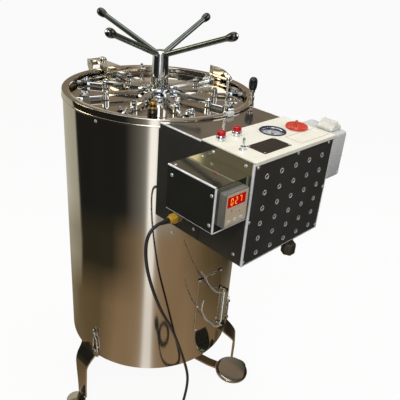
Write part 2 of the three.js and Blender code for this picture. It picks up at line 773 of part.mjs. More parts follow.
function pedalLever() {
  const half = pedal.thickness / 2;
  const rear = block(
    -pedal.width / 2,
    pedal.width / 2,
    pedal.pivotY,
    rodY + pedal.rearPast,
    pivotZ - half,
    pivotZ + half,
  );
  const plan = [
    [0, 0],
    [pedal.kneeX, pedal.kneeY - pedal.pivotY],
    [pedal.padX, pedal.padY - pedal.pivotY],
  ];
  const front = standing(strip(plan, pedal.width), -half, half);
  const dish = turned([
    [0, -half],
    [pedal.padRadius - pedal.padSheet, -half],
    [pedal.padRadius - pedal.padSheet, half - pedal.padRim],
    [pedal.padRadius, half - pedal.padRim],
    [pedal.padRadius, half + pedal.padSheet - pedal.padEdge / 2],
    [pedal.padRadius - pedal.padEdge, half + pedal.padSheet],
    [0, half + pedal.padSheet],
  ], 28).translate(plan[2][0], plan[2][1], 0);
  const slope = Math.atan2(pedal.drop, pedal.pivotY - pedal.padY);
  const arm = joined(front, dish).rotateX(slope).translate(0, pedal.pivotY, pivotZ);
  const tube = alongX(-pedal.halfTube, pedal.halfTube, pedal.pivotY, pivotZ, pedal.tube);
  const bore = alongX(-pedal.halfTube - over, pedal.halfTube + over, pedal.pivotY, pivotZ, pedal.pin + run, 12);
  return cut(joined(rear, arm, tube), bore);
}
add('pedal_lever', pedalLever(), steel);

// Legs: bent and tapered flat plates, each with its foot disc and its fixing strap
function legPiece(bearing, reach, aside) {
  const soleZ = foot.height - sink;
  const footAt = foot.at + reach;
  const outer = legFace.map(([drop, beyond, , share]) => [jacketRadius + beyond + reach * share, legHeight - drop]);
  outer.push([outer[outer.length - 1][0], soleZ]);
  const inner = offsetPath(outer, -leg.thickness).slice(1).reverse();
  const tabEnd = jacketRadius - leg.tab;
  const profile = [
    ...outer,
    ...inner,
    [tabEnd, legHeight - seat - leg.thickness],
    [tabEnd, legHeight - seat],
  ];
  const side = acrossY(profile, -footAt, footAt);
  const rows = [...legFace.map(([drop, , width]) => [width / 2, legHeight - drop]), [leg.soleWidth / 2, soleZ - sink]];
  rows[0][1] += sink;
  const face = [...rows, ...rows.map(([half, z]) => [-half, z]).reverse()];
  const front = acrossX(face, tabEnd - sink, footAt);
  const disc = turned([
    [0, 0],
    [foot.radius, 0],
    [foot.radius, foot.height - foot.edge],
    [foot.radius - foot.edge, foot.height],
    [0, foot.height],
  ], 24).translate(footAt, 0, 0);
  return toBearing(joined(common(side, front), disc, fixingStrap(aside)), bearing);
}

// The chromed loop, bolt and wing nut that hold a leg to the jacket
function fixingStrap(aside) {
  const half = strap.width / 2;
  const loop = (inset) => {
    const shape = new THREE.Shape();
    const radius = half - inset;
    shape.absarc(0, strap.length - half, radius, 0, Math.PI, false);
    shape.absarc(0, half, radius, Math.PI, 2 * Math.PI, false);
    return shape;
  };
  const shape = loop(0);
  shape.holes.push(loop(strap.wall));
  const oval = new THREE.ExtrudeGeometry(shape, { depth: strap.thickness, bevelEnabled: false, curveSegments: 4 });
  const head = upright(0, 0, strap.thickness / 2, strap.thickness * 2, strap.bolt, 6).translate(0, half, 0);
  const stem = upright(0, 0, 0, strap.thickness * 2, strap.nut / 2, 10).translate(0, strap.nutAt, 0);
  const link = block(-strap.wall / 2, strap.wall / 2, strap.length - half, strap.nutAt, 0, strap.thickness / 2);
  const lugLow = -strap.low - strap.lugDrop;
  const lugs = [
    block(-strap.lug / 2, strap.lug / 2, lugLow, half, 0, strap.thickness),
    block(-strap.lug / 2, strap.lug / 2, lugLow, -strap.low - 2 * seat, -strap.lugIn, strap.thickness),
  ];
  const wing = strap.wingWidth / 2;
  const wings = [1, -1].map((hand) => block(-wing, wing, 0, strap.wing, strap.thickness / 2, strap.thickness)
    .rotateZ(-hand * radians(strap.wingTurn))
    .translate(0, strap.nutAt, 0));
  const whole = joined(oval, head, stem, link, ...lugs, ...wings);
  const upRight = new THREE.Matrix4().makeBasis(
    new THREE.Vector3(0, 1, 0),
    new THREE.Vector3(0, 0, 1),
    new THREE.Vector3(1, 0, 0),
  );
  whole.applyMatrix4(upRight).translate(jacketRadius + 2 * seat, 0, legHeight + strap.low);
  return whole.rotateZ(aside / jacketRadius);
}
legBearings.forEach(([side, bearing]) => (
  add(`leg_${side}`, legPiece(bearing, legReach[side], strapAside[side]), steel)
));

// Control box shell: folded sheet from the jacket to the front, open at the front and over the panel
function boxShell() {
  const s = box.sheet;
  const back = -box.backInside;
  const outside = block(box.left, box.right, box.front, back, boxBottom, boxTop);
  const inside = block(box.left + s, box.right - s, box.front - over, back + over, boxBottom + s, boxTop - s);
  const overPanel = block(box.left + s, box.right - s, box.front - over, box.panelBack, boxTop - over, boxTop + over);
  const jacketCut = upright(0, 0, boxBottom - over, boxTop + over, jacketRadius + seat, facets);
  const rimCut = upright(0, 0, rimTop - ring.band - seat - run, boxTop + over, ringOuter + seat + run, facets);
  const knobHole = upright(pressureKnob.x, pressureKnob.y, boxBottom - over, boxBottom + over, pressureKnob.hole, 16);
  const glandHole = alongX(box.left - over, box.left + over, gland.y, glandZ, gland.hole, 16);
  const shell = cut(outside, inside, overPanel, jacketCut, rimCut, knobHole, glandHole);
  const flangeFront = box.front + grille.thickness + seat;
  const flanges = [
    block(box.left + s - sink, box.left + box.flange, flangeFront, flangeFront + s, boxBottom + sink, boxTop - s),
    block(box.right - box.flange, box.right - s + sink, flangeFront, flangeFront + s, boxBottom + sink, boxTop - s),
  ];
  return joined(shell, ...flanges);
}
add('control_box', boxShell(), darkSteel);

// Front grille: the perforated panel between the side walls
function frontGrille() {
  const s = box.sheet;
  const plate = block(
    box.left + s + seat,
    box.right - s - seat,
    box.front,
    box.front + grille.thickness,
    boxBottom + s + seat,
    boxTop - s - seat,
  );
  const holes = [];
  for (let column = 0; column < grille.columns; column += 1) {
    for (let row = 0; row < grille.rows; row += 1) {
      const x = grille.centreX + (column - (grille.columns - 1) / 2) * grille.pitchX;
      const z = boxTop - grille.topZ - row * grille.pitchZ;
      holes.push(alongY(x, box.front - over, box.front + grille.thickness + over, z, grille.hole, 8));
    }
  }
  return cut(plate, ...holes);
}
add('front_grille', frontGrille(), darkSteel);

// Cream control panel on top of the box, drilled for its fittings, with a short front lip
function controlPanel() {
  const low = boxTop + seat;
  const plate = block(box.left, box.right, box.front - seat - grille.thickness, box.panelBack, low, panelTop);
  const lip = block(
    box.left,
    box.right,
    box.front - seat - grille.thickness,
    box.front - seat,
    low - panel.lip,
    low + sink,
  );
  const holes = [
    upright(gauge.x, gauge.y, low - over, panelTop + over, gauge.cup + run, 24),
    upright(heatKnob.x, heatKnob.y, low - over, panelTop + over, heatKnob.hole, 16),
    upright(toggle.x, toggle.y, low - over, panelTop + over, toggle.hole, 12),
    ...lamp.xs.map((x) => upright(x, lamp.y, low - over, panelTop + over, lamp.shank + run, 16)),
  ];
  return joined(cut(joined(plate, lip), ...holes), toggleBush());
}

// The toggle switch's threaded bush and nut, clamped in the panel
function toggleBush() {
  const nut = toggle.hole + toggle.nutPast;
  return turnedRing([
    [toggle.bush, -toggle.bushHeight],
    [toggle.bush, -sink],
    [toggle.hole + sink, -sink],
    [toggle.hole + sink, -sink / 2],
    [nut, -sink / 2],
    [nut, toggle.nutHeight],
    [toggle.bush, toggle.nutHeight],
    [toggle.bush, toggle.bushHeight],
    [toggle.bush - toggle.bushWall, toggle.bushHeight],
    [toggle.bush - toggle.bushWall, -toggle.bushHeight],
  ], 12).translate(toggle.x, toggle.y, panelTop);
}
add('control_panel', controlPanel(), cream);

// Controller housing on the box's left side, open towards the box
function controllerHousing() {
  const s = housing.sheet;
  const right = box.left - seat;
  const outside = block(housing.left, right, housing.front, housing.back, housingBottom, housingTop);
  const inside = block(
    housing.left + s,
    right + over,
    housing.front + s,
    housing.back - s,
    housingBottom + s,
    housingTop - s,
  );
  const inset = controller.bodyInset - seat;
  const window = block(
    controller.left + inset,
    controller.left + controller.width - inset,
    housing.front - over,
    housing.front + over,
    controllerLow + inset,
    controllerLow + controller.height - inset,
  );
  return cut(outside, inside, window);
}
add('controller_housing', controllerHousing(), darkSteel);

// Temperature controller: bezel and case, with a pocket for each key
const keyRow = Array.from({ length: key.count }, (unused, i) => {
  const middle = controller.left + controller.width / 2;
  return middle + (i - (key.count - 1) / 2) * key.pitch;
});
const faceY = housing.front - seat - controller.bezel;
const keyZ = controllerLow + key.rise;
function temperatureController() {
  const e = controller.edge;
  const inset = controller.bodyInset;
  const right = controller.left + controller.width;
  const top = controllerLow + controller.height;
  const bezel = softBlock(controller.left, right, controllerLow, top, 0, controller.bezel + e, e);
  bezel.rotateX(Math.PI / 2).translate(0, faceY + controller.bezel + e, 0);
  const front = cut(
    bezel,
    block(controller.left - over, right + over, housing.front - seat, housing.front + over, controllerLow - over, top + over),
  );
  const body = block(
    controller.left + inset,
    right - inset,
    housing.front - seat - sink,
    housing.front + controller.bodyDepth,
    controllerLow + inset,
    top - inset,
  );
  const pockets = keyRow.map((x) => block(
    x - key.width / 2 - seat,
    x + key.width / 2 + seat,
    faceY - over,
    faceY + key.pocket,
    keyZ - key.height / 2 - seat,
    keyZ + key.height / 2 + seat,
  ));
  return cut(joined(front, body), ...pockets);
}
add('temperature_controller', temperatureController(), beige);
keyRow.forEach((x, i) => add(`controller_key_${i + 1}`, block(
  x - key.width / 2,
  x + key.width / 2,
  faceY - key.proud,
  faceY + key.depth,
  keyZ - key.height / 2,
  keyZ + key.height / 2,
), keyGrey));

// Pilot lamps: chromed bezel with a red cap on a shank through the panel
function pilotLamp() {
  return turned([
    [0, -lamp.shankDepth],
    [lamp.shank, -lamp.shankDepth],
    [lamp.shank, seat],
    [lamp.bezel, seat],
    [lamp.bezel, lamp.bezelHeight],
    [lamp.cap, lamp.bezelHeight],
    [lamp.cap, lamp.bezelHeight + lamp.capHeight - ring.edge],
    [lamp.cap - ring.edge, lamp.bezelHeight + lamp.capHeight],
    [0, lamp.bezelHeight + lamp.capHeight],
  ], 16);
}
lamp.xs.forEach((x, i) => {
  add(`pilot_lamp_${i + 1}`, pilotLamp(), lampRed, new THREE.Vector3(x, lamp.y, panelTop));
});

// Toggle switch's bat lever, rocking in its bush
const toggleBall = toggle.bush - toggle.bushWall - seat;
add('toggle_lever', joined(
  new THREE.SphereGeometry(toggleBall, 10, 8).rotateX(Math.PI / 2),
  upright(0, 0, 0, toggle.length, toggle.neck, 8, toggle.radius),
  upright(0, 0, toggle.length - sink, toggle.length + toggle.radius, toggle.radius, 8, toggle.radius / 2),
).translate(toggle.x, toggle.y, panelTop), chrome);

// Pressure gauge: flanged cup with its dial, a needle on the dial and a glass on the step
const glassLow = panelTop - gauge.glassDrop - gauge.glass;
const dialTop = panelTop - gauge.dialDrop;
add('gauge_case', turned([
  [0, panelTop - gauge.depth],
  [gauge.cup, panelTop - gauge.depth],
  [gauge.cup, panelTop + seat],
  [gauge.flange, panelTop + seat],
  [gauge.flange, panelTop + gauge.flangeHeight],
  [gauge.cup - gauge.wall + gauge.step, panelTop + gauge.flangeHeight],
  [gauge.cup - gauge.wall + gauge.step, glassLow - seat],
  [gauge.cup - gauge.wall, glassLow - seat],
  [gauge.cup - gauge.wall, dialTop],
  [0, dialTop],
], 24).translate(gauge.x, gauge.y, 0), blueBlack);
add('gauge_glass', upright(
  gauge.x,
  gauge.y,
  glassLow,
  glassLow + gauge.glass,
  gauge.cup - gauge.wall + gauge.step - seat,
  24,
), clear);
const needleLow = dialTop + seat;
add('gauge_needle', joined(
  block(-gauge.tail, gauge.needle, -gauge.needleWidth / 2, gauge.needleWidth / 2, needleLow, needleLow + gauge.needleThickness),
  upright(0, 0, needleLow, needleLow + 2 * gauge.needleThickness, gauge.hub, 16),
).rotateZ(radians(gauge.restTurn)).translate(gauge.x, gauge.y, 0), blackPlastic);

// Rotary heat switch knob with its grip ridge, on a shaft through the panel
const knobLow = panelTop + heatKnob.gap;
add('heat_knob', joined(
  turned([
    [0, 0],
    [heatKnob.radius, 0],
    [heatKnob.radius, heatKnob.height - 2 * ring.edge],
    [heatKnob.radius - ring.edge, heatKnob.height],
    [0, heatKnob.height],
  ], 28),
  block(
    ring.edge - heatKnob.radius,
    heatKnob.radius - ring.edge,
    -heatKnob.ridge / 2,
    heatKnob.ridge / 2,
    heatKnob.height - sink,
    heatKnob.height + heatKnob.ridgeHeight,
  ).rotateZ(radians(heatKnob.restTurn)),
  upright(0, 0, panelTop - heatKnob.depth - knobLow, sink, heatKnob.shaft, 12),
).translate(heatKnob.x, heatKnob.y, knobLow), redPlastic);

// Metal-clad socket on the box's right side, and the plug that stands in it
const socketLeft = box.right + seat;
const socketX = (socketLeft + socket.right) / 2;
add('clad_socket', cut(
  softBlock(socketLeft, socket.right, socket.front, socket.back, socketTop - socket.height, socketTop, socket.edge),
  upright(socketX, socket.at, socketTop - socket.recessDepth, socketTop + over, socket.recess, 24),
), cast);
add('clad_plug', joined(
  softBlock(
    socketX - cladPlug.width / 2,
    socketX + cladPlug.width / 2,
    socket.at - cladPlug.depth / 2,
    socket.at + cladPlug.depth / 2,
    socketTop + seat,
    socketTop + seat + cladPlug.height,
    cladPlug.edge,
  ),
  upright(socketX, socket.at, socketTop - cladPlug.bossDepth, socketTop + cladPlug.edge, cladPlug.boss, 24),
), white);

// Pressure switch knob under the box, lobed for the fingers
function switchKnob() {
  const shape = new THREE.Shape();
  const points = 4 * pressureKnob.lobes;
  for (let i = 0; i < points; i += 1) {
    const angle = (2 * Math.PI * i) / points;
    const radius = pressureKnob.radius - pressureKnob.lobe * (0.5 - 0.5 * Math.cos(pressureKnob.lobes * angle));
    if (i === 0) shape.moveTo(radius * Math.cos(angle), radius * Math.sin(angle));
    else shape.lineTo(radius * Math.cos(angle), radius * Math.sin(angle));
  }
  const low = boxBottom - pressureKnob.drop;
  const grip = standing(shape, low, low + pressureKnob.height);
  const neck = upright(0, 0, low + pressureKnob.height - sink, boxBottom - run, pressureKnob.neck, 16);
  const shaft = upright(0, 0, boxBottom - run - sink, boxBottom + pressureKnob.up, pressureKnob.shaft, 12);
  return joined(grip, neck, shaft);
}
add('pressure_switch_knob', switchKnob(), rubber, new THREE.Vector3(pressureKnob.x, pressureKnob.y, 0));

// Valves on the lid
const lidPlace = (fitting) => place(fitting.at, fitting.bearing, lidTop + seat);

// A turned fitting standing on z = 0, from shares of its radius and height
function turnedFitting({ radius, height }, shares, sides) {
  return turned([[0, 0], ...shares.map(([wide, high]) => [wide * radius, high * height]), [0, height]], sides);
}
add('weight_valve', turnedFitting(weightValve, weightShares, 16), brass, lidPlace(weightValve));
add('vent_pipe', turnedFitting(ventPipe, ventShares, 12), chrome, lidPlace(ventPipe));
add('vacuum_valve', joined(
  turnedFitting(vacuumValve, vacuumShares, 12),
  new THREE.TorusGeometry(vacuumValve.ring, vacuumValve.wire, 5, 14).translate(
    -vacuumValve.ring - vacuumValve.radius * vacuumValve.leanShare,
    0,
    vacuumValve.height * vacuumValve.ringShare,
  ),
), chrome, lidPlace(vacuumValve));

// Steam release valve on the rim and its black knob
const releasePlace = place(release.at, release.bearing, rimTop + seat);
add('release_valve', cut(
  turnedFitting(release, releaseShares, 12),
  upright(0, 0, release.height - release.stemDepth - run, release.height + over, release.stem + run, 12),
), chrome, releasePlace);
add('release_knob', turned([
  [0, release.height - release.stemDepth],
  [release.stem, release.height - release.stemDepth],
  [release.stem, release.height + seat],
  ...releaseKnobShares.map(([wide, high]) => [wide * release.knob, release.height + seat + high * release.knobHeight]),
  [0, release.height + seat + release.knobHeight],
], 16), blackPlastic, releasePlace);

// Service cover: a curved plate on the jacket under the box
function serviceCover() {
  const inner = jacketRadius + seat;
  const steps = 8;
  const turn = cover.toBearing - cover.fromBearing;
  const outline = [];
  for (let i = 0; i <= steps; i += 1) {
    const spot = place(inner + cover.thickness, cover.fromBearing + (turn * i) / steps);
    outline.push([spot.x, spot.y]);
  }
  for (let i = steps; i >= 0; i -= 1) {
    const spot = place(inner, cover.fromBearing + (turn * i) / steps);
    outline.push([spot.x, spot.y]);
  }
  return standing(outline, legHeight + cover.low, legHeight + cover.high);
}
add('service_cover', serviceCover(), steel);

// Water level gauge: two cocks on the jacket with a glass tube between them
const cockLow = legHeight + levelGauge.low;
const cockHigh = legHeight + levelGauge.high;
function levelFitting() {
  const at = jacketRadius + levelGauge.at;
  const cocks = [cockLow, cockHigh].map((z, i) => {
    const hand = i === 0 ? 1 : -1;
    const stem = alongX(jacketRadius + seat, at + levelGauge.body, 0, z, levelGauge.boss, 14);
    const flat = cut(stem, upright(0, 0, z - 2 * over, z + 2 * over, jacketRadius + seat, facets));
    const cupEnd = z + hand * levelGauge.socket;
    const cup = upright(at, 0, Math.min(z, cupEnd), Math.max(z, cupEnd), levelGauge.body, 14);
    return joined(flat, cup);
  });
  const tube = upright(at, 0, cockLow + sink, cockHigh - sink, levelGauge.glass, 12);
  return toBearing(joined(...cocks, tube), levelGauge.bearing);
}
add('level_gauge', levelFitting(), chrome);

// Bent lever handles of the two cocks
function cockLever(points, z) {
  const at = jacketRadius + levelGauge.at + levelGauge.body + seat;
  const lift = at + levers.hubLength - levers.radius;
  const path = new THREE.CatmullRomCurve3(points.map(([across, up]) => new THREE.Vector3(lift, across, up)));
  const section = new THREE.Shape();
  section.absarc(0, 0, levers.radius, 0, 2 * Math.PI, false);
  const arm = new THREE.ExtrudeGeometry(section, { extrudePath: path, steps: 16, curveSegments: 3 });
  const hub = alongX(at, at + levers.hubLength, 0, 0, levers.hub, 14);
  return toBearing(joined(hub, arm).translate(0, 0, z), levelGauge.bearing);
}
add('upper_cock_lever', cockLever(levers.upper, cockHigh), chrome);
add('lower_cock_lever', cockLever(levers.lower, cockLow), chrome);

// Cord gland, strain relief, free cord, its coil and the mains plug
const glandEnd = box.left - seat - gland.hexLength - gland.domeLength;
add('cord_gland', joined(
  alongX(box.left - seat - gland.hexLength, box.left - seat, gland.y, glandZ, gland.hex, 6),
  alongX(glandEnd, box.left - seat - gland.hexLength + sink, gland.y, glandZ, gland.dome, 20),
), brass);
add('strain_relief', alongX(
  glandEnd - seat - relief.length,
  glandEnd - seat,
  gland.y,
  glandZ,
  cordRadius,
  12,
  relief.wide,
), rubber);

const coilCentre = new THREE.Vector3(coil.x, coil.y, floorLay);
const heading = new THREE.Vector3(-Math.sin(coilStart), Math.cos(coilStart), 0);
const coilGate = coilCentre.clone().add(new THREE.Vector3(Math.cos(coilStart), Math.sin(coilStart), 0).multiplyScalar(coil.outer));

function coilPath() {
  const points = [];
  const half = coil.turns / 2;
  const count = coil.turns * coil.steps;
  for (let i = 0; i <= count; i += 1) {
    const turns = i / coil.steps;
    const inward = Math.min(turns, coil.turns - turns);
    const climb = THREE.MathUtils.clamp((turns - half) * 2 + 0.5, 0, 1);
    const radius = coil.outer - coil.pitch * inward;
    const angle = coilStart + 2 * Math.PI * turns;
    points.push(new THREE.Vector3(
      coil.x + radius * Math.cos(angle),
      coil.y + radius * Math.sin(angle),
      floorLay + coil.layer * climb,
    ));
  }
  const first = points[0].clone().addScaledVector(heading, -2 * cordRadius);
  const last = points[points.length - 1].clone().addScaledVector(heading, 2 * cordRadius);
  return [first, ...points, last];
}

// Least distance between turns of the coil, less the cord's diameter
function leastGap(points) {
  let least = Infinity;
  const apart = coil.steps / 2;
  for (let i = 0; i < points.length; i += 1) {
    for (let j = i + apart; j < points.length; j += 1) {
      least = Math.min(least, points[i].distanceTo(points[j]) - 2 * cordRadius);
    }
  }
  return least;
}

// A closed tube of flat-sided rings along a list of points
function ringTube(points, radius, sides) {
  const positions = [];
  const up = new THREE.Vector3(0, 0, 1);
  points.forEach((point, i) => {
    const before = points[Math.max(i - 1, 0)];
    const after = points[Math.min(i + 1, points.length - 1)];
    const along = after.clone().sub(before).normalize();
    const side = new THREE.Vector3().crossVectors(along, up).normalize();
    const lift = new THREE.Vector3().crossVectors(side, along);
    for (let k = 0; k < sides; k += 1) {
      const angle = (2 * Math.PI * (k + 0.5)) / sides;
      const spot = point.clone()
        .addScaledVector(side, radius * Math.cos(angle))
        .addScaledVector(lift, radius * Math.sin(angle));
      positions.push(spot.x, spot.y, spot.z);
    }
  });
  const index = [];
  for (let i = 0; i < points.length - 1; i += 1) {
    for (let k = 0; k < sides; k += 1) {
      const a = i * sides + k;
      const b = i * sides + ((k + 1) % sides);
      index.push(a, a + sides, b, b, a + sides, b + sides);
    }
  }
  const lastRing = (points.length - 1) * sides;
  for (let k = 1; k < sides - 1; k += 1) {
    index.push(0, k, k + 1);
    index.push(lastRing, lastRing + k + 1, lastRing + k);
  }
  const geometry = new THREE.BufferGeometry();
  geometry.setAttribute('position', new THREE.BufferAttribute(new Float32Array(positions), 3));
  geometry.setIndex(index);
  return geometry;
}

const wound = coilPath();
console.log(`cord coil: least gap between turns ${leastGap(wound).toFixed(2)} mm`);
add('cord_coil', ringTube(wound, cordRadius, coil.sides), rubber);

const tailEnd = wound[0].clone().addScaledVector(heading, -seat);
const tailPoints = [
  [cordExit, gland.y, glandZ],
  [cordExit - 9, gland.y, glandZ],
  [-233, -262, 726],
  [-244, -262, 704],
  [-246, -262, 672],
  [-241, -262, 630],
  [-230, -262, 585],
  [-212, -262, 530],
  [-186, -262, 465],
  [-152, -262, 396],
  [-122, -262, 322],
  [-93, -262, 240],
  [-77, -263, 185],
  [-74, -266, 148],
  [-82, -271, 114],
  [-101, -280, 82],
  [-124, -291, 52],
  [-148, -305, 26],
  [-170, -321, 9],
].map(([x, y, z]) => new THREE.Vector3(x, y, z));
tailPoints.push(tailEnd.clone().addScaledVector(heading, -14), tailEnd);
const tailCurve = new THREE.CatmullRomCurve3(tailPoints, false, 'centripetal');
const cordSection = new THREE.Shape();
cordSection.absarc(0, 0, cordRadius, 0, 2 * Math.PI, false);
add('mains_cord', new THREE.ExtrudeGeometry(cordSection, {
  extrudePath: tailCurve,
  steps: 48,
  curveSegments: 4,
}), rubber);

function mainsPlug() {
  const start = plug.neck;
  const neck = alongX(0, start + sink, 0, 0, cordRadius + seat, 12, cordRadius * 2);
  const body = softBlock(start, start + plug.body, -plug.width / 2, plug.width / 2, -plug.thickness / 2, plug.thickness / 2, plug.edge);
  const end = start + plug.body;
  const pins = [[-plug.pinSide, -plug.pinSide / 3], [plug.pinSide, -plug.pinSide / 3], [0, plug.pinSide / 2]].map(
    ([y, z]) => alongX(end - sink, end + plug.pinLength, y, z, plug.pin, 12),
  );
  return joined(neck, body, ...pins);
}
const plugAngle = Math.atan2(heading.y, heading.x);
const plugStart = wound[wound.length - 1].clone().addScaledVector(heading, seat);
add('mains_plug', mainsPlug(), blackPlastic, plugStart, plugAngle);

// Inside the chamber: heater loop on its two tails
add('immersion_heater', joined(
  new THREE.TorusGeometry(heater.radius, heater.tube, 6, 24).translate(0, 0, chamberFloor + heater.lift),
  ...[1, -1].map((hand) => upright(
    hand * heater.radius,
    0,
    chamberFloor + seat,
    chamberFloor + heater.lift,
    heater.tube,
    10,
  )),
), chrome);

// Basket on its three-legged stand
const standTop = chamberFloor + stand.height;
function basketStand() {
  const hoop = turnedRing([
    [stand.radius - stand.bar, standTop - stand.bar],
    [stand.radius + stand.bar, standTop - stand.bar],
    [stand.radius + stand.bar, standTop + sink],
    [stand.radius - stand.bar, standTop + sink],
  ], 24);
  const legs = Array.from({ length: stand.legs }, (unused, i) => (
    upright(stand.radius, 0, chamberFloor + seat, standTop - sink, stand.bar, 10)
      .rotateZ((2 * Math.PI * i) / stand.legs)
  ));
  return [hoop, ...legs];
}

function instrumentBasket() {
  const low = standTop;
  const shell = turned([
    [0, low],
    [basket.radius, low],
    [basket.radius, low + basket.height - basket.rim],
    [basket.radius + basket.rim, low + basket.height - basket.rim],
    [basket.radius + basket.rim, low + basket.height],
    [basket.radius - basket.sheet, low + basket.height],
    [basket.radius - basket.sheet, low + basket.sheet],
    [0, low + basket.sheet],
  ], 32);
  const holes = Array.from({ length: basket.holes }, (unused, i) => (
    upright(basket.holesAt, 0, low - over, low + over, basket.hole, 8)
      .rotateZ((2 * Math.PI * i) / basket.holes)
  ));
  return joined(cut(shell, ...holes), ...basketStand());
}
add('instrument_basket', instrumentBasket(), satin);

// Origin: on the floor, under the middle of the object without its cord
const cordNames = ['cord_gland', 'strain_relief', 'mains_cord', 'cord_coil', 'mains_plug'];
const bounds = new THREE.Box3();
model.children.filter((mesh) => !cordNames.includes(mesh.name)).forEach((mesh) => {
  mesh.updateMatrixWorld(true);
  bounds.expandByObject(mesh, true);
});
const middle = bounds.getCenter(new THREE.Vector3());
model.position.set(-middle.x, -middle.y, -bounds.min.z);
console.log(`origin moved by ${model.position.toArray().map((v) => v.toFixed(3)).join(', ')} mm`);

export default model;
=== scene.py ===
# %% [markdown]
# A vertical laboratory autoclave: a polished steel tank on three legs, a lid held by nine radial
# bolts and a four-armed wheel, and a box of controls on its side. The solids are already built
# elsewhere, so they come in first as a fixed frame, and everything here is placed against them.

# %% Load the frame
import math

import bmesh
import bpy
from mathutils import Matrix, Vector
from mathutils.geometry import tessellate_polygon


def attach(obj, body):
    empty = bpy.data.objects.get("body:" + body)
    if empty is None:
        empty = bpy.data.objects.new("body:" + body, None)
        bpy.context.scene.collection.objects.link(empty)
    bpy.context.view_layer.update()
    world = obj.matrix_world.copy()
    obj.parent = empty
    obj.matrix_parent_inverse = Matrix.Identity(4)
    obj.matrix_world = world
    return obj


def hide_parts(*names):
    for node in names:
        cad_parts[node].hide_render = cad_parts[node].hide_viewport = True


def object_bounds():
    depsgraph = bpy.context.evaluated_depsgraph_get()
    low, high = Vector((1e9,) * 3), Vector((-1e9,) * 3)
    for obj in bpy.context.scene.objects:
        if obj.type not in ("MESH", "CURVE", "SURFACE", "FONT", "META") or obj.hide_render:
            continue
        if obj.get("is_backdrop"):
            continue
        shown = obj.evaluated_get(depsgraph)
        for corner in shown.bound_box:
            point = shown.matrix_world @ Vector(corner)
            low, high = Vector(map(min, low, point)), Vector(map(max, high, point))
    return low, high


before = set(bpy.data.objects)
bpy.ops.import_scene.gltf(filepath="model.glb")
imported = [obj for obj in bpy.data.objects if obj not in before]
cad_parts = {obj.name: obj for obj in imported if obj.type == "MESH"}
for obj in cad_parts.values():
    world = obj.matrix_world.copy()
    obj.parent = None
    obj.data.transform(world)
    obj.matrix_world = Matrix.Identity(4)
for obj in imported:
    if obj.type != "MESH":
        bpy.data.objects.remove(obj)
cad_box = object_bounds()

# %% [markdown]
# The tank was drawn in millimetres about its own upright axis. The frame's origin lies under the
# middle of the whole object instead, so one function shifts a point and turns it into metres.
# Round the tank a place is easiest to give as a radius and a bearing, counted from the front.

# %% Points in millimetres
SHIFT = Vector((36.475, 89.75, 0.0))
TO_FRAME = Matrix.Scale(0.001, 4) @ Matrix.Translation(SHIFT)


def at(x, y, z):
    return TO_FRAME @ Vector((x, y, z))


def polar(radius, bearing, z):
    a = math.radians(bearing)
    return Vector((radius * math.sin(a), -radius * math.cos(a), z))


RIM_TOP, LID_TOP, PANEL_TOP = 956.0, 938.0, 954.3
print("rim in the frame at z =", at(0, 0, RIM_TOP).z, "m")

# %% [markdown]
# The camera stands to the left of the control box, above the lid, and looks down at the tank. Its
# place, lens and small roll were fitted to the ellipses of the rim and to the box's straight edges,
# so that the render falls on the photograph.

# %% Camera
camera = bpy.data.objects.new("camera", bpy.data.cameras.new("camera"))
bpy.context.scene.collection.objects.link(camera)
bpy.context.scene.camera = camera
yaw, pitch, roll = math.radians(46.25), math.radians(27.79), math.radians(4.89)
forward = Vector((math.sin(yaw) * math.cos(pitch), math.cos(yaw) * math.cos(pitch), -math.sin(pitch)))
level = Vector((math.cos(yaw), -math.sin(yaw), 0))
above = level.cross(forward)
right = math.cos(roll) * level + math.sin(roll) * above
up = -math.sin(roll) * level + math.cos(roll) * above
turn = Matrix((right, up, -forward)).transposed().to_4x4()
camera.matrix_world = Matrix.Translation(at(-870.1, -1016.3, 1333.5)) @ turn
camera.data.sensor_width = 36.0
camera.data.lens = 36.0 * 510.17 / 400.0
camera.data.clip_start, camera.data.clip_end = 0.05, 40.0
print("camera lens", round(camera.data.lens, 2), "mm")

# %% [markdown]
# Pieces are made as lists of points and faces in millimetres. A turned piece is a profile of radius
# and height spun about the upright axis, which is how a lathe makes it. A profile that ends where it
# began closes into a ring.


# %% Shapes: turning
def turned(profile, steps=96):
    closed = profile[0] == profile[-1]
    rows, verts, faces = [], [], []
    for r, z in profile[:-1] if closed else profile:
        count = 1 if r < 1e-6 else steps
        rows.append([len(verts) + k for k in range(count)])
        for k in range(count):
            a = 2 * math.pi * k / steps
            verts.append(Vector((r * math.sin(a), -r * math.cos(a), z)))
    pairs = list(zip(rows, rows[1:]))
    if closed:
        pairs.append((rows[-1], rows[0]))
    for low, high in pairs:
        for k in range(steps if len(low) > 1 or len(high) > 1 else 0):
            j = (k + 1) % steps
            ring = [low[k % len(low)], low[j % len(low)], high[j % len(high)], high[k % len(high)]]
            faces.append(list(dict.fromkeys(ring)))
    return verts, faces


# %% [markdown]
# Sheet metal and blocks are outlines with a thickness. An outline may have holes, and the flat sides
# are then filled with triangles round them, which keeps every hole truly round.


# %% Shapes: blocks, plates and rods
def pierced(outline, holes, z0, z1):
    loops = [outline] + holes
    flat = [Vector((x, y, 0)) for loop in loops for x, y in loop]
    n = len(flat)
    verts = [Vector((p.x, p.y, z0)) for p in flat] + [Vector((p.x, p.y, z1)) for p in flat]
    fill = tessellate_polygon([[Vector((x, y, 0)) for x, y in loop] for loop in loops])
    faces = [list(t) for t in fill] + [[i + n for i in t] for t in fill]
    start = 0
    for loop in loops:
        for k in range(len(loop)):
            i, j = start + k, start + (k + 1) % len(loop)
            faces.append([i, j, j + n, i + n])
        start += len(loop)
    return verts, faces


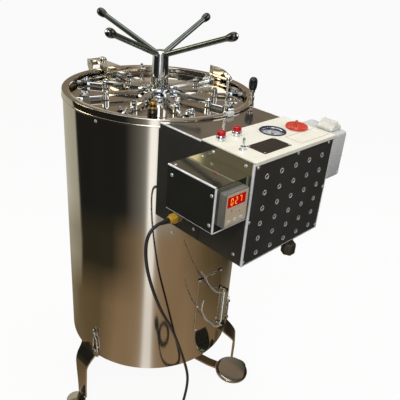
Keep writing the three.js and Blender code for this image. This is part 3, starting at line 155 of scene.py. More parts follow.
def prism(outline, z0, z1):
    n = len(outline)
    verts = [Vector((x, y, z)) for z in (z0, z1) for x, y in outline]
    sides = [[k, (k + 1) % n, (k + 1) % n + n, k + n] for k in range(n)]
    return verts, [list(range(n)), list(range(n, 2 * n))] + sides


def block(x0, x1, y0, y1, z0, z1):
    return prism([(x0, y0), (x1, y0), (x1, y1), (x0, y1)], z0, z1)


def ring_of(radius, sides, x=0.0, y=0.0, start=0.0):
    angles = [start + 2 * math.pi * k / sides for k in range(sides)]
    return [(x + radius * math.cos(a), y + radius * math.sin(a)) for a in angles]


def lofted(rows):
    n = len(rows[0])
    verts = [Vector(p) for row in rows for p in row]
    faces = [list(range(n)), list(range(len(verts) - n, len(verts)))]
    for r in range(len(rows) - 1):
        faces += [[r * n + k, r * n + (k + 1) % n, (r + 1) * n + (k + 1) % n, (r + 1) * n + k] for k in range(n)]
    return verts, faces


def rod(points, radii, sides=16):
    points = [Vector(p) for p in points]
    radii = radii if isinstance(radii, (list, tuple)) else [radii] * len(points)
    side, rows = None, []
    for i, p in enumerate(points):
        along = (points[min(i + 1, len(points) - 1)] - points[max(i - 1, 0)]).normalized()
        side = (side or along.orthogonal()) - (side or along.orthogonal()).dot(along) * along
        side.normalize()
        lift = along.cross(side)
        rows.append([p + radii[i] * (math.cos(a) * side + math.sin(a) * lift)
                     for a in (2 * math.pi * k / sides for k in range(sides))])
    return lofted(rows)


def placed(part, matrix, paint=None):
    made = ([matrix @ v for v in part[0]], part[1])
    return made + ((paint,) if paint is not None else tuple(part[2:]))


def facing(origin, direction):
    return Matrix.Translation(origin) @ Vector(direction).to_track_quat("Z", "Y").to_matrix().to_4x4()


def bearing_turn(bearing):
    return Matrix.Rotation(math.radians(bearing - 90), 4, "Z")


def smooth_path(points, per=8):
    p = [Vector(q) for q in points]
    p = [2 * p[0] - p[1]] + p + [2 * p[-1] - p[-2]]
    line = []
    for i in range(1, len(p) - 2):
        for k in range(per):
            t = k / per
            a, b, c, d = p[i - 1], p[i], p[i + 1], p[i + 2]
            line.append(0.5 * (2 * b + (c - a) * t + (2 * a - 5 * b + 4 * c - d) * t * t
                               + (3 * b - a - 3 * c + d) * t ** 3))
    return line + [p[-2]]


print("shape helpers ready")

# %% [markdown]
# One function turns such lists into a Blender object. It shades smoothly but keeps edges sharper than
# a given angle, rounds them a little with a bevel, because no real edge is perfectly sharp and the
# rounded edge is what catches the light, and hands the piece to the body that it moves with.

# %% Build a piece
built = []


def build(name, parts, body, finishes, stands_for=(), bevel=0.0, crease=32):
    work = bmesh.new()
    for part in parts:
        made = [work.verts.new(v) for v in part[0]]
        for face in part[1]:
            work.faces.new([made[i] for i in face]).material_index = part[2] if len(part) > 2 else 0
    bmesh.ops.recalc_face_normals(work, faces=work.faces)
    bmesh.ops.transform(work, matrix=TO_FRAME, verts=work.verts)
    mesh = bpy.data.meshes.new(name)
    work.to_mesh(mesh)
    work.free()
    for finish in finishes if isinstance(finishes, (list, tuple)) else [finishes]:
        mesh.materials.append(finish)
    mesh.polygons.foreach_set("use_smooth", [True] * len(mesh.polygons))
    mesh.set_sharp_from_angle(angle=math.radians(crease))
    piece = bpy.data.objects.new(name, mesh)
    bpy.context.scene.collection.objects.link(piece)
    if bevel:
        edge = piece.modifiers.new("rounded_edges", "BEVEL")
        edge.width, edge.segments, edge.limit_method = bevel / 1000, 2, "ANGLE"
        edge.angle_limit, edge.harden_normals = math.radians(crease), True
    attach(piece, body)
    if stands_for:
        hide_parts(*([stands_for] if isinstance(stands_for, str) else stands_for))
    built.append(name)
    return piece


# %% [markdown]
# Colours are picked as sRGB hex codes, the way a screen shows them, and turned into the linear values
# that the renderer works with. One small function adds a node: numbers and colours go into its
# sockets, and a pair of node and output name makes a link.


# %% Colours and nodes
def linear(code):
    parts = [int(code[i:i + 2], 16) / 255 for i in (1, 3, 5)]
    return tuple(c / 12.92 if c <= 0.04045 else ((c + 0.055) / 1.055) ** 2.4 for c in parts) + (1.0,)


def add(tree, kind, sockets=None, **settings):
    made = tree.nodes.new(kind)
    for name, value in settings.items():
        setattr(made, name, value)
    for name, value in (sockets or {}).items():
        if isinstance(value, tuple) and isinstance(value[0], bpy.types.Node):
            tree.links.new(value[0].outputs[value[1]], made.inputs[name])
        else:
            made.inputs[name].default_value = value
    return made


def surface(name, code, metallic, roughness, **sockets):
    finish = bpy.data.materials.new(name)
    finish.use_nodes = True
    shader = finish.node_tree.nodes["Principled BSDF"]
    shader.inputs["Base Color"].default_value = linear(code)
    shader.inputs["Metallic"].default_value = metallic
    shader.inputs["Roughness"].default_value = roughness
    for key, value in sockets.items():
        shader.inputs[key.replace("_", " ")].default_value = value
    finish.diffuse_color = linear(code)
    return finish, finish.node_tree, shader


# %% [markdown]
# Every finish needs a little unevenness, in colour, in gloss and in height. This recipe drives all
# three from noise whose grain is given as a size in millimetres, so that the pattern keeps its real
# scale, and it can be stretched along one axis, as polishing marks are.


# %% Uneven finish
def uneven(tree, shader, other, grain, rough, height=0.0, stretch=(1, 1, 1), detail=3.0, sharp=(0.3, 0.7)):
    """other: second colour; grain: size in mm; rough: two roughness values; height: bump in mm."""
    place = add(tree, "ShaderNodeTexCoord")
    scale = add(tree, "ShaderNodeMapping", {"Vector": (place, "Object"), "Scale": stretch})
    noise = add(tree, "ShaderNodeTexNoise", {"Vector": (scale, "Vector"), "Scale": 1000 / grain,
                                             "Detail": detail, "Roughness": 0.6})
    share = add(tree, "ShaderNodeMapRange", {"Value": (noise, "Fac"), "From Min": sharp[0],
                                             "From Max": sharp[1]})
    base = tuple(shader.inputs["Base Color"].default_value)
    mix = add(tree, "ShaderNodeMix", {0: (share, "Result"), 6: base, 7: linear(other)}, data_type="RGBA")
    tree.links.new(mix.outputs[2], shader.inputs["Base Color"])
    gloss = add(tree, "ShaderNodeMapRange", {"Value": (noise, "Fac"), "From Min": sharp[0],
                                             "From Max": sharp[1], "To Min": rough[0], "To Max": rough[1]})
    tree.links.new(gloss.outputs["Result"], shader.inputs["Roughness"])
    if height:
        bump = add(tree, "ShaderNodeBump", {"Height": (noise, "Fac"), "Strength": 1.0,
                                            "Distance": height / 1000})
        tree.links.new(bump.outputs["Normal"], shader.inputs["Normal"])
    return noise


# %% [markdown]
# The mains cord comes early, because its length and its coil decide how much floor the model needs.
# It is a 2 m PVC lead, 8 mm thick, of which the photograph shows the first 0.9 m: out of the gland,
# over in a curve, and down past the tank. The rest is wound up on the floor just below the picture.
# PVC sheath is extruded, so it is smooth with a low sheen and hardly any grain.

# %% Cord and plastic finishes
pvc_sheath, tree, shader = surface("extruded_pvc_sheath", "#17181a", 0.0, 0.42, IOR=1.53)
uneven(tree, shader, "#232427", 6, (0.36, 0.52), 0.03, stretch=(1, 1, 0.3))
black_phenolic, tree, shader = surface("moulded_black_phenolic", "#0e0e0f", 0.0, 0.16, IOR=1.6)
uneven(tree, shader, "#1a1917", 9, (0.12, 0.24), 0.01)
yellow_nylon, tree, shader = surface("moulded_yellow_nylon", "#e2b93a", 0.0, 0.4, IOR=1.53)
uneven(tree, shader, "#c2901f", 8, (0.34, 0.5), 0.03)
print("cord finishes:", pvc_sheath.name, black_phenolic.name, yellow_nylon.name)

# %% Cord route
CORD_RADIUS = 4.0
EXIT = (-203.9, -262, 736)
tail = [EXIT, (-213, -262, 736), (-233, -262, 726), (-244, -262, 704), (-246, -262, 672), (-241, -262, 630),
        (-230, -262, 585), (-212, -262, 530), (-186, -262, 465), (-152, -262, 396), (-122, -262, 322),
        (-93, -262, 240), (-77, -263, 185), (-74, -266, 148), (-82, -271, 114), (-101, -280, 82),
        (-124, -291, 52), (-148, -305, 26), (-170, -321, 9)]
COIL = dict(x=-184, y=-396, turns=4, outer=49, pitch=8.8, layer=8.7, start=math.radians(129), steps=24, floor=4.4)
heading = Vector((-math.sin(COIL["start"]), math.cos(COIL["start"]), 0))
wound = []
for i in range(COIL["turns"] * COIL["steps"] + 1):
    turns = i / COIL["steps"]
    inward = min(turns, COIL["turns"] - turns)
    climb = min(1.0, max(0.0, (turns - COIL["turns"] / 2) * 2 + 0.5))
    radius = COIL["outer"] - COIL["pitch"] * inward
    a = COIL["start"] + 2 * math.pi * turns
    wound.append(Vector((COIL["x"] + radius * math.cos(a), COIL["y"] + radius * math.sin(a),
                         COIL["floor"] + COIL["layer"] * climb)))
route = [Vector(p) for p in tail] + [wound[0] - 22 * heading, wound[0] - 8 * heading] + wound
route.append(wound[-1] + 8 * heading)
cord_line = smooth_path(route, 6)

# %% Cord, strain relief, gland and plug
curve = bpy.data.curves.new("mains_cord_sheath", "CURVE")
curve.dimensions, curve.bevel_depth, curve.bevel_resolution = "3D", CORD_RADIUS / 1000, 5
curve.use_fill_caps = True
line = curve.splines.new("POLY")
line.points.add(len(cord_line) - 1)
for point, p in zip(line.points, cord_line):
    point.co = (*at(*p), 1.0)
cord = bpy.data.objects.new("mains_cord_sheath", curve)
curve.materials.append(pvc_sheath)
bpy.context.scene.collection.objects.link(cord)
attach(cord, "autoclave")
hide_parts("mains_cord", "cord_coil")

ribs = [(7.0, 0.0), (7.0, 3.0)]
for i in range(5):
    z, r = 3.0 + 3.6 * i, 6.6 - 0.45 * i
    ribs += [(r - 1.0, z + 0.2), (r - 1.0, z + 1.4), (r, z + 1.6), (r - 0.1, z + 3.5)]
relief = placed(turned([(0, 0)] + ribs + [(4.3, 22), (0, 22)], 32), facing((-181.6, -262, 736), (-1, 0, 0)))
build("ribbed_strain_relief", [relief], "autoclave", pvc_sheath, "strain_relief", 0.3)

hexagon = placed(prism(ring_of(13.9, 6, start=math.pi / 6), 0, 10), facing((-161.3, -262, 736), (-1, 0, 0)))
dome = placed(turned([(0, 9), (10.4, 9), (10.4, 14), (9.6, 17.5), (8.2, 20), (0, 20)], 32),
              facing((-161.3, -262, 736), (-1, 0, 0)))
build("compression_gland", [hexagon, dome], "autoclave", yellow_nylon, "cord_gland", 0.6)

plug_turn = Matrix.Translation(wound[-1] + 0.3 * heading) @ Matrix.Rotation(
    math.atan2(heading.y, heading.x), 4, "Z")
body_rows = []
for x, w, h in ((38.5, 20, 14), (41, 27, 18), (46, 34, 22), (58, 37, 22.8), (72, 37.6, 22.8), (78.5, 36, 22), (80, 34, 20)):
    body_rows.append([(x, w / 2 * math.copysign(abs(math.cos(a)) ** 0.55, math.cos(a)),
                       h / 2 * math.copysign(abs(math.sin(a)) ** 0.55, math.sin(a)))
                      for a in (2 * math.pi * k / 32 for k in range(32))])
neck = rod([(0, 0, 0), (6, 0, 0), (14, 0, 0), (26, 0, 0), (39, 0, 0)], [4.6, 4.8, 5.4, 6.6, 8.2], 24)
pins = [rod([(79, y, z), (96.5, y, z), (97.8, y, z)], [3.3, 3.3, 2.2], 20)
        for y, z in ((-10, -10 / 3), (10, -10 / 3), (0, 5))]
grips = [block(50 + 6 * k, 52.5 + 6 * k, -17.4, 17.4, -11.4, 11.4) for k in range(4)]
plug_parts = [placed(p, plug_turn, 0) for p in [neck, lofted(body_rows)]] + [placed(p, plug_turn, 1) for p in pins]
plug_parts += [placed(p, plug_turn, 0) for p in grips]
print("plug neck starts at", [round(v, 1) for v in wound[-1]])

# %% [markdown]
# Metals. The tank, its ring and its lid are stainless sheet that was buffed to a mirror: what they
# show is the room, so the finish is almost all reflection, a faint warm grey with very low roughness
# and a slow waviness, because thin sheet is never quite flat. The chamber and basket inside have only
# a satin finish. Handles and bolts are steel with bright chrome plate, bluer and whiter than stainless.

# %% Metal finishes
mirror_steel, tree, shader = surface("mirror_buffed_stainless", "#cbc6bc", 1.0, 0.07)
uneven(tree, shader, "#bfb9ad", 90, (0.05, 0.1), 0.35, stretch=(1, 1, 0.22), detail=1.5)
box_steel, tree, shader = surface("mirror_buffed_box_sheet", "#a8a59a", 0.9, 0.06)
uneven(tree, shader, "#98948a", 120, (0.04, 0.09), 0.12, detail=1.0)
housing_steel, tree, shader = surface("mirror_buffed_housing_sheet", "#989a8b", 0.94, 0.07)
uneven(tree, shader, "#868879", 100, (0.05, 0.1), 0.12, detail=1.0)
# Painted highlight: the sheet folds get a near-white, nearly non-metal finish that stands for the light they catch.
fold_highlight_paint, tree, shader = surface("painted_highlight_sheet_fold", "#f8f9fb", 0.2, 0.3)
uneven(tree, shader, "#dfe2e6", 20, (0.24, 0.4), 0.02)
satin_steel, tree, shader = surface("satin_ground_stainless", "#b5b2ab", 1.0, 0.32)
uneven(tree, shader, "#a29f98", 3, (0.26, 0.42), 0.02, stretch=(1, 1, 0.08))
chrome, tree, shader = surface("bright_chrome_plate", "#dfe3e6", 1.0, 0.06)
uneven(tree, shader, "#cdd3d9", 14, (0.04, 0.1), 0.02)
# Painted reflection: the wheel's rods get a dark chrome colour that stands for the dark room they mirror.
rod_chrome_painted_dark, tree, shader = surface("chrome_painted_dark_reflection", "#6d746f", 0.9, 0.16)
uneven(tree, shader, "#5c635f", 14, (0.12, 0.24), 0.02)
zinc, tree, shader = surface("bright_zinc_plate", "#eef1f4", 0.6, 0.24)
uneven(tree, shader, "#d9dde2", 6, (0.18, 0.34), 0.02)
nickel, tree, shader = surface("nickel_plated_brass", "#cfcac0", 1.0, 0.14)
uneven(tree, shader, "#b9b1a0", 10, (0.1, 0.22), 0.02)
brass, tree, shader = surface("turned_brass", "#cda85a", 1.0, 0.22)
uneven(tree, shader, "#a9823f", 4, (0.16, 0.32), 0.02, stretch=(1, 1, 4))
aluminium, tree, shader = surface("tumbled_cast_aluminium", "#eff0ee", 0.15, 0.48)
uneven(tree, shader, "#b9bcba", 2.2, (0.4, 0.6), 0.08)
plug = build("moulded_mains_plug", plug_parts, "autoclave", [black_phenolic, brass], "mains_plug",
             0.5)
print("metals:", mirror_steel.name, chrome.name, brass.name)

# %% [markdown]
# Plastics, enamel, glass and print. The top panel is cream stove enamel, the knobs are moulded urea
# and phenolic, the controller has a finely sparked ABS case, and the gauge has a printed card behind
# flat glass.

# %% Other finishes
enamel, tree, shader = surface("cream_stove_enamel", "#f4f2e6", 0.0, 0.38, IOR=1.5)
uneven(tree, shader, "#eae6d3", 30, (0.3, 0.45), 0.05)
white_urea, tree, shader = surface("moulded_white_urea", "#e9e9e2", 0.0, 0.3, IOR=1.6)
uneven(tree, shader, "#d6d5ca", 12, (0.24, 0.4), 0.02)
red_urea, tree, shader = surface("moulded_red_urea", "#dd3d25", 0.0, 0.26, IOR=1.6)
uneven(tree, shader, "#c23018", 10, (0.2, 0.34), 0.02)
lamp_lens, tree, shader = surface("red_acrylic_lens", "#d5152c", 0.0, 0.12, IOR=1.49, Transmission_Weight=0.35)
uneven(tree, shader, "#b80d22", 6, (0.08, 0.18), 0.02)
abs_case, tree, shader = surface("sparked_grey_abs_case", "#7d7973", 0.0, 0.42, IOR=1.53)
uneven(tree, shader, "#67635d", 5, (0.36, 0.5), 0.03, stretch=(1, 1, 0.1))
membrane, tree, shader = surface("tan_polyester_membrane", "#d2c3aa", 0.0, 0.4, IOR=1.6)
uneven(tree, shader, "#c3b296", 9, (0.34, 0.48), 0.01)
keypad, tree, shader = surface("cast_keypad_elastomer", "#ded7c8", 0.0, 0.6, IOR=1.43)
uneven(tree, shader, "#cbc3b2", 2, (0.5, 0.7), 0.03)
window_red, tree, shader = surface("red_filter_window", "#a90d12", 0.0, 0.12, IOR=1.49)
shader.inputs["Emission Color"].default_value = linear("#c8130f")
shader.inputs["Emission Strength"].default_value = 0.35
uneven(tree, shader, "#8d080c", 8, (0.1, 0.16))
lit_segment, tree, shader = surface("lit_display_segment", "#ff8a3a", 0.0, 0.4)
shader.inputs["Emission Color"].default_value = linear("#ff8a2e")
shader.inputs["Emission Strength"].default_value = 1.6
uneven(tree, shader, "#ff7a22", 2, (0.35, 0.45))
blue_enamel, tree, shader = surface("blue_black_enamel", "#1d2b47", 0.0, 0.28, IOR=1.5)
uneven(tree, shader, "#141d33", 12, (0.2, 0.36), 0.02)
dial_card, tree, shader = surface("printed_dial_card", "#d9d4de", 0.0, 0.55, IOR=1.45)
uneven(tree, shader, "#cbc5d2", 3, (0.5, 0.62), 0.01)
dark_plate, tree, shader = surface("dark_anodised_plate", "#56534f", 1.0, 0.38)
uneven(tree, shader, "#494642", 1.5, (0.3, 0.46), 0.01, stretch=(0.1, 1, 1))
ink_brown, tree, shader = surface("brown_screen_print", "#a08064", 0.0, 0.45)
uneven(tree, shader, "#8a6c50", 2, (0.4, 0.5))
aged_brass, tree, shader = surface("aged_brass_casting", "#3c3828", 1.0, 0.36)
uneven(tree, shader, "#2a2619", 5, (0.3, 0.5), 0.04)
# Black print for the dial, figures and scales, also used as painted shade in the screw slots.
ink_and_slot_shade, tree, shader = surface("black_print_and_painted_slot_shade", "#1a1a1c", 0.0, 0.45)
uneven(tree, shader, "#26262a", 2, (0.4, 0.5))
gold_foil, tree, shader = surface("gold_hot_foil", "#e2b44a", 1.0, 0.3)
uneven(tree, shader, "#c9952f", 2, (0.24, 0.38))
olive_rubber, tree, shader = surface("olive_rubber_grip", "#3b331f", 0.0, 0.55, IOR=1.52)
uneven(tree, shader, "#241e11", 5, (0.45, 0.7), 0.06)
silicone, tree, shader = surface("cured_silicone", "#cfc9ba", 0.0, 0.5, IOR=1.41)
uneven(tree, shader, "#bdb6a5", 7, (0.42, 0.6), 0.03)
glass, tree, shader = surface("flat_gauge_glass", "#f2f6f6", 0.0, 0.02, IOR=1.45, Transmission_Weight=1.0)
uneven(tree, shader, "#eaf2f2", 25, (0.01, 0.04))
print("finishes made:", len(bpy.data.materials))

# %% [markdown]
# The jacket is one rolled sheet, 500 mm across, with a rolled-in foot. A lathe profile gives it a true
# circle, so that its reflections run in clean vertical streaks.

# %% Jacket
jacket = turned([(250, 196.2), (250, 935.7), (248, 935.7), (248, 197), (236, 197), (236, 195), (248.8, 195),
                 (249.7, 195.4), (250, 196.2)], 256)
build("polished_jacket", [jacket], "autoclave", mirror_steel, "outer_jacket")


def pan_screw(centre, direction, radius=3.6, rise=1.5):
    head = turned([(0, rise), (radius * 0.55, rise * 0.92), (radius * 0.86, rise * 0.6), (radius, 0.15),
                   (radius, -0.4), (0, -0.4)], 20)
    # The slot is a black bar standing just proud of the head: painted shade for the dark groove.
    slot_shade_bar = block(-radius * 0.7, radius * 0.7, -0.35, 0.35, rise * 0.72, rise + 0.06)
    put = facing(centre, direction) @ Matrix.Rotation(0.6 + centre[0] * 0.05, 4, "Z")
    return [placed(head, put, 0), placed(slot_shade_bar, put, 1)]


jacket_screws = []
for bearing, z in ((-75.6, 928), (-29.9, 660)):
    jacket_screws += pan_screw(polar(250, bearing, z), polar(1, bearing, 0), 4.2, 2.0)
build("jacket_screws", jacket_screws, "autoclave", [zinc, ink_and_slot_shade])

# %% [markdown]
# The rim is the locking ring: its inner lip is what the bolts reach under. It is turned from a heavy
# casting and polished like the tank. A lug stands on it at the front, and on its right side a curved
# guard fin with a slim post.

# %% Locking ring
ring = turned([(251.8, 936), (252.5, 936.3), (253, 937.2), (253, 939.4), (252.5, 940.3),
               (252, 940.6), (252, 953.6), (251.5, 955.3), (250.6, 956), (235.2, 956), (233.6, 955.4), (233, 954),
               (233, 951), (245, 951), (245, 935), (236, 935), (236, 920), (206, 920), (206, 912),
               (247.7, 912), (247.7, 936), (251.8, 936)], 256)
lug = placed(block(245.5, 256.8, -9.4, 9.4, 951.6, 961.8), bearing_turn(1.5))
build("locking_ring", [ring], "autoclave", mirror_steel, "rim_ring", 0.4)
build("ring_lug", [lug], "autoclave", aluminium, bevel=1.2)

ACROSS = Matrix(((0, 0, 1, 0), (1, 0, 0, 0), (0, 1, 0, 0), (0, 0, 0, 1)))
crown = smooth_path([(-36, 961, 0), (-26, 967.6, 0), (-12, 974, 0), (2, 978, 0), (19, 979.8, 0), (40, 980, 0),
                     (53, 979.8, 0)], 5)
fin = placed(prism([(p.x, p.y) for p in crown] + [(53, 955.4), (-36, 955.4)], 241.2, 244.8), ACROSS)
post = rod([(243, 41.5, 955.4), (243, 41.5, 957.6), (243, 41.5, 958), (243, 41.5, 976.6), (243, 41.5, 978.8)],
           [3.5, 3.5, 3.1, 3.1, 2.4], 20)
build("guard_fin", [fin, post], "autoclave", mirror_steel, bevel=0.5)

# %% [markdown]
# The lid is a turned disc. The bolts slide in nine guide blocks, each held by two studs with nuts, and
# a spindle in the middle carries the wheel. A flat carrier bar runs back over the rim to the hinge.

# %% Lid
BOLTS = [16 + 40 * i for i in range(9)]
disc = turned([(0, 926), (226, 926), (230, 932), (230, 937), (229, 938), (24, 938), (24, 941.7), (14, 941.7),
               (14, 1000), (12, 1002), (0, 1002)], 256)


def hex_nut(x, y, z, across, height, bolt):
    nut = placed(prism(ring_of(across / math.sqrt(3), 6, start=0.3), 0, height), Matrix.Translation((x, y, z)))
    end = turned([(0, height + bolt * 0.8), (bolt * 0.35, height + bolt * 0.8), (bolt / 2, height + bolt * 0.6),
                  (bolt / 2, 0), (0, 0)], 16)
    return [nut, placed(end, Matrix.Translation((x, y, z)))]


guides = []
for bearing in BOLTS:
    put = bearing_turn(bearing)
    cheek = prism([(-13, 938), (13, 938), (13, 949.5), (8, 955.5), (-8, 955.5), (-13, 949.5)], 196, 214)
    guides.append(placed(([Vector((v.z, v.x, v.y)) for v in cheek[0]], cheek[1]), put))
    for side in (-8.5, 8.5):
        for nut in hex_nut(205, side, 955.3, 5.6, 3.4, 3.2):
            guides.append(placed(nut, put))
build("lid_disc", [disc], "lid", mirror_steel, "lid_plate")
build("bolt_guides", guides, "lid", chrome, bevel=0.5)

carrier = [block(-14, 14, 150, 284.5, 964, 972), block(-66, 66, 141, 159, 964, 972),
           placed(turned([(5.5, -21.5), (10, -21.5), (10, 21.5), (5.5, 21.5), (5.5, -21.5)], 48),
                  facing((0, 292, 964), (1, 0, 0))),
           placed(turned([(0, 971.5), (9, 971.5), (9, 977.6), (8.3, 980.6), (6.4, 982.9), (3.4, 983.8), (0, 984)], 40),
                  Matrix.Translation((0, 262, 0)))]
for x in (-58, 58):
    carrier.append(placed(turned([(0, 937.5), (9, 937.5), (9, 941), (6, 942), (6, 965), (0, 965)], 32),
                          Matrix.Translation((x, 150, 0))))
    carrier += hex_nut(x, 150, 971.8, 11, 6, 7)
build("lid_carrier", carrier, "lid", mirror_steel, bevel=0.8)

# %% [markdown]
# Each bolt is a flat bar, pinned in the wheel's cam plate, that ends in a knuckle and a round nose.
# They are chromed steel, all nine alike, and each rides on a body of its own because each slides.

# %% Radial bolts
for number, bearing in enumerate(BOLTS, 1):
    put = bearing_turn(bearing)
    parts = [rod([(146, 0, 944.5), (222, 0, 944.5), (227.5, 0, 944.5), (229.4, 0, 944.5)], [5, 5, 5, 3], 24),
             block(36, 147, -6.4, 6.4, 948.6, 956.4),
             placed(turned([(0, 939.6), (8.2, 939.6), (9, 940.6), (9, 957), (8.2, 957.4), (0, 957.4)], 32),
                    Matrix.Translation((150, 0, 0))),
             placed(turned([(0, 943.2), (4, 943.2), (4, 956), (0, 956)], 20), Matrix.Translation((42, 0, 0)))]
    parts += hex_nut(42, 0, 956.3, 10.6, 4.2, 1.5) + hex_nut(150, 0, 957.2, 10.6, 4.2, 1.5)
    build(f"locking_bolt_{number}", [placed(p, put) for p in parts], f"bolt_{number}", chrome,
          f"radial_bolt_{number}", 0.7)

# %% [markdown]
# The wheel pulls the bolts in and out. Its foot is a cam plate with nine curved slots, then a collar
# and a column, and four rods rise from the column's head. Each rod ends in an egg-shaped black knob
# held by a bright screw.

# %% Wheel
slots = []
for bearing in BOLTS:
    centre_line = []
    for i in range(9):
        angle = math.radians(bearing - 90 + 30 * i / 8)
        centre_line.append(Vector(((42 + 12 * i / 8) * math.cos(angle), (42 + 12 * i / 8) * math.sin(angle), 0)))
    left, right_side = [], []
    for i, p in enumerate(centre_line):
        along = (centre_line[min(i + 1, 8)] - centre_line[max(i - 1, 0)]).normalized()
        across = Vector((-along.y, along.x, 0))
        left.append((p + 4.5 * across).to_2d())
        right_side.append((p - 4.5 * across).to_2d())
    cap = []
    for end, sign in ((8, 1), (0, -1)):
        along = (centre_line[end] - centre_line[end - sign]).normalized()
        across = Vector((-along.y, along.x, 0))
        cap.append([(centre_line[end] + 4.5 * (math.cos(a) * across * sign + math.sin(a) * along)).to_2d()
                    for a in (math.pi * k / 8 for k in range(1, 8))])
    slots.append([tuple(v) for v in left + cap[0] + right_side[::-1] + cap[1]])
cam_plate = pierced(ring_of(66, 128), slots + [ring_of(14.6, 48)], 942.1, 947.4)
column = turned([(14.5, 947), (26, 947), (26, 955.2), (25.3, 956.6), (23.3, 957.9), (20.5, 1048.6), (20, 1050.8),
                 (18.6, 1052.8), (16.2, 1054.3), (12.4, 1055.4), (8, 1055.9), (4, 1056), (0, 1056), (0, 1003),
                 (14.5, 1003), (14.5, 947)], 96)
rods = []
for bearing in (15.1, 102, 193.2, 285.6):
    shaft = rod([(4, 0, 0), (60, 0, 0), (150, 0, 0), (198.7, 0, 0)], 6.9, 32)
    tilt = Matrix.Rotation(-math.radians(21.4), 4, "Y")
    root = tilt @ Vector((13.6, 0, 0))
    put = bearing_turn(bearing) @ Matrix.Translation((13.6 - root.x, 0, 1046 - root.z)) @ tilt
    rods.append((put, placed(shaft, put, 1)))
wheel = [cam_plate, column] + [shaft for put, shaft in rods]
build("capstan_wheel", wheel, "capstan", [chrome, rod_chrome_painted_dark], "capstan", 0.5)

for number, (put, shaft) in enumerate(rods, 1):
    egg = turned([(0, 0), (7, 0), (7.7, 0.6), (8.6, 3.7), (10.3, 9.6), (11, 14.4), (11.1, 18), (10.5, 22),
                  (8.8, 25.6), (6.5, 28), (4.8, 28.9), (0, 28.9)], 48)
    dot = turned([(0, 28.5), (4.4, 28.5), (4.4, 29.4), (3.5, 30), (0, 30.2)], 24)
    seat = put @ Matrix.Translation((198.9, 0, 0)) @ Matrix.Rotation(math.pi / 2, 4, "Y")
    build(f"egg_knob_{number}", [placed(egg, seat, 0), placed(dot, seat, 1)], "capstan",
          [black_phenolic, chrome], f"handle_knob_{number}")
print("wheel slots:", len(slots), "rods:", len(rods))

# %% [markdown]
# Fittings on the lid and rim: a dead-weight valve of brass with black bands, a tall vent pipe, a small
# air valve with a pull ring, and the steam release valve with its black knob.

# %% Valves
spot = polar(211, -44.2, LID_TOP + 0.3)
weight = turned([(0, 0), (9, 0), (9, 6), (11.2, 7), (12, 8), (12, 13.4), (11.2, 14.2), (11.2, 17), (12, 17.8),
                 (12, 31), (11, 32.4), (9, 34), (9, 43), (7.6, 44.6), (4.6, 45.6), (4.6, 51), (3.6, 52), (0, 52)], 48)
bands = [turned([(11.1, z0), (12.1, z0), (12.1, z1), (11.1, z1), (11.1, z0)], 48)
         for z0, z1 in ((6.9, 15), (15.6, 24.4), (25, 31.4))]
bands.append(turned([(8.6, 34.6), (9.1, 34.6), (9.1, 40), (8.6, 40), (8.6, 34.6)], 48))
put = Matrix.Translation(spot)
build("dead_weight_valve", [placed(weight, put, 0)] + [placed(b, put, 1) for b in bands], "lid",
      [brass, black_phenolic], "weight_valve", 0.3)
vent = turned([(0, 0), (5.4, 0), (5.5, 5.5), (3.3, 9), (3.3, 82), (5.5, 85), (5.5, 91), (4.2, 93.4), (0, 94)], 32)
build("vent_post", [placed(vent, Matrix.Translation(polar(214.4, 8.6, LID_TOP + 0.3)))], "lid", chrome,
      "vent_pipe")
spot = polar(176, -13, LID_TOP + 0.3)
air = turned([(0, 0), (7, 0), (7, 6.6), (3.9, 8.4), (3.9, 12), (4.8, 13), (4.8, 15.6), (3, 17), (0, 17)], 32)
ring_path = [(spot.x - 10.8 + 8 * math.cos(a), spot.y + 8 * math.sin(a), spot.z + 13.6)
             for a in (2 * math.pi * k / 40 for k in range(41))]
build("air_valve", [placed(air, Matrix.Translation(spot)), rod(ring_path, 1.25, 12)], "lid", chrome,
      "vacuum_valve")

spot = polar(245, 35.6, RIM_TOP + 0.3)
put = Matrix.Translation(spot)
valve = turned([(0, 0), (7.5, 0), (7.5, 8), (5.6, 10), (5.6, 18), (7.5, 20.4), (7.5, 25.4), (7, 26), (3.5, 26),
                (3.5, 12), (0, 12)], 40)
build("steam_release_valve", [placed(valve, put)], "autoclave", nickel, "release_valve", 0.4)
lobed = []
for z, r in ((26.4, 8.4), (29, 9.6), (34, 10.6), (44, 11), (50, 10.6), (54.5, 9), (57.4, 6.4), (58, 5)):
    lobed.append([((r - 0.9 * (0.5 - 0.5 * math.cos(8 * a))) * math.cos(a),
                   (r - 0.9 * (0.5 - 0.5 * math.cos(8 * a))) * math.sin(a), z)
                  for a in (2 * math.pi * k / 64 for k in range(64))])
stem = turned([(0, 12.3), (3, 12.3), (3, 27), (0, 27)], 20)
cap = turned([(0, 57), (4, 57), (4, 57.8), (0, 58)], 24)
build("steam_release_knob", [placed(lofted(lobed), put, 0), placed(stem, put, 1), placed(cap, put, 1)],
      "release_knob", [black_phenolic, nickel], "release_knob")

# %% [markdown]
# Hinge, lift rod and pedal. Pressing the pedal tilts a long flat lever under the tank, whose far end
# pushes the rod up behind the tank, and the rod lifts the lid's carrier.

# %% Rod and pedal
lift = turned([(0, 153.4), (5.6, 153.4), (6, 154.4), (6, 158.6), (5, 159.6), (5, 961.5), (3.6, 963.6), (0, 963.6)], 32)
build("lid_lift_rod", [placed(lift, Matrix.Translation((0, 268, 0)))], "lift_rod", chrome, "lift_rod")


def strip(points, width):
    left, other = [], []
    for i, p in enumerate(points):
        a, b = points[max(i - 1, 0)], points[min(i + 1, len(points) - 1)]
        length = math.hypot(b[0] - a[0], b[1] - a[1])
        n = (-(b[1] - a[1]) / length * width / 2, (b[0] - a[0]) / length * width / 2)
        left.append((p[0] + n[0], p[1] + n[1]))
        other.append((p[0] - n[0], p[1] - n[1]))
    return left + other[::-1]


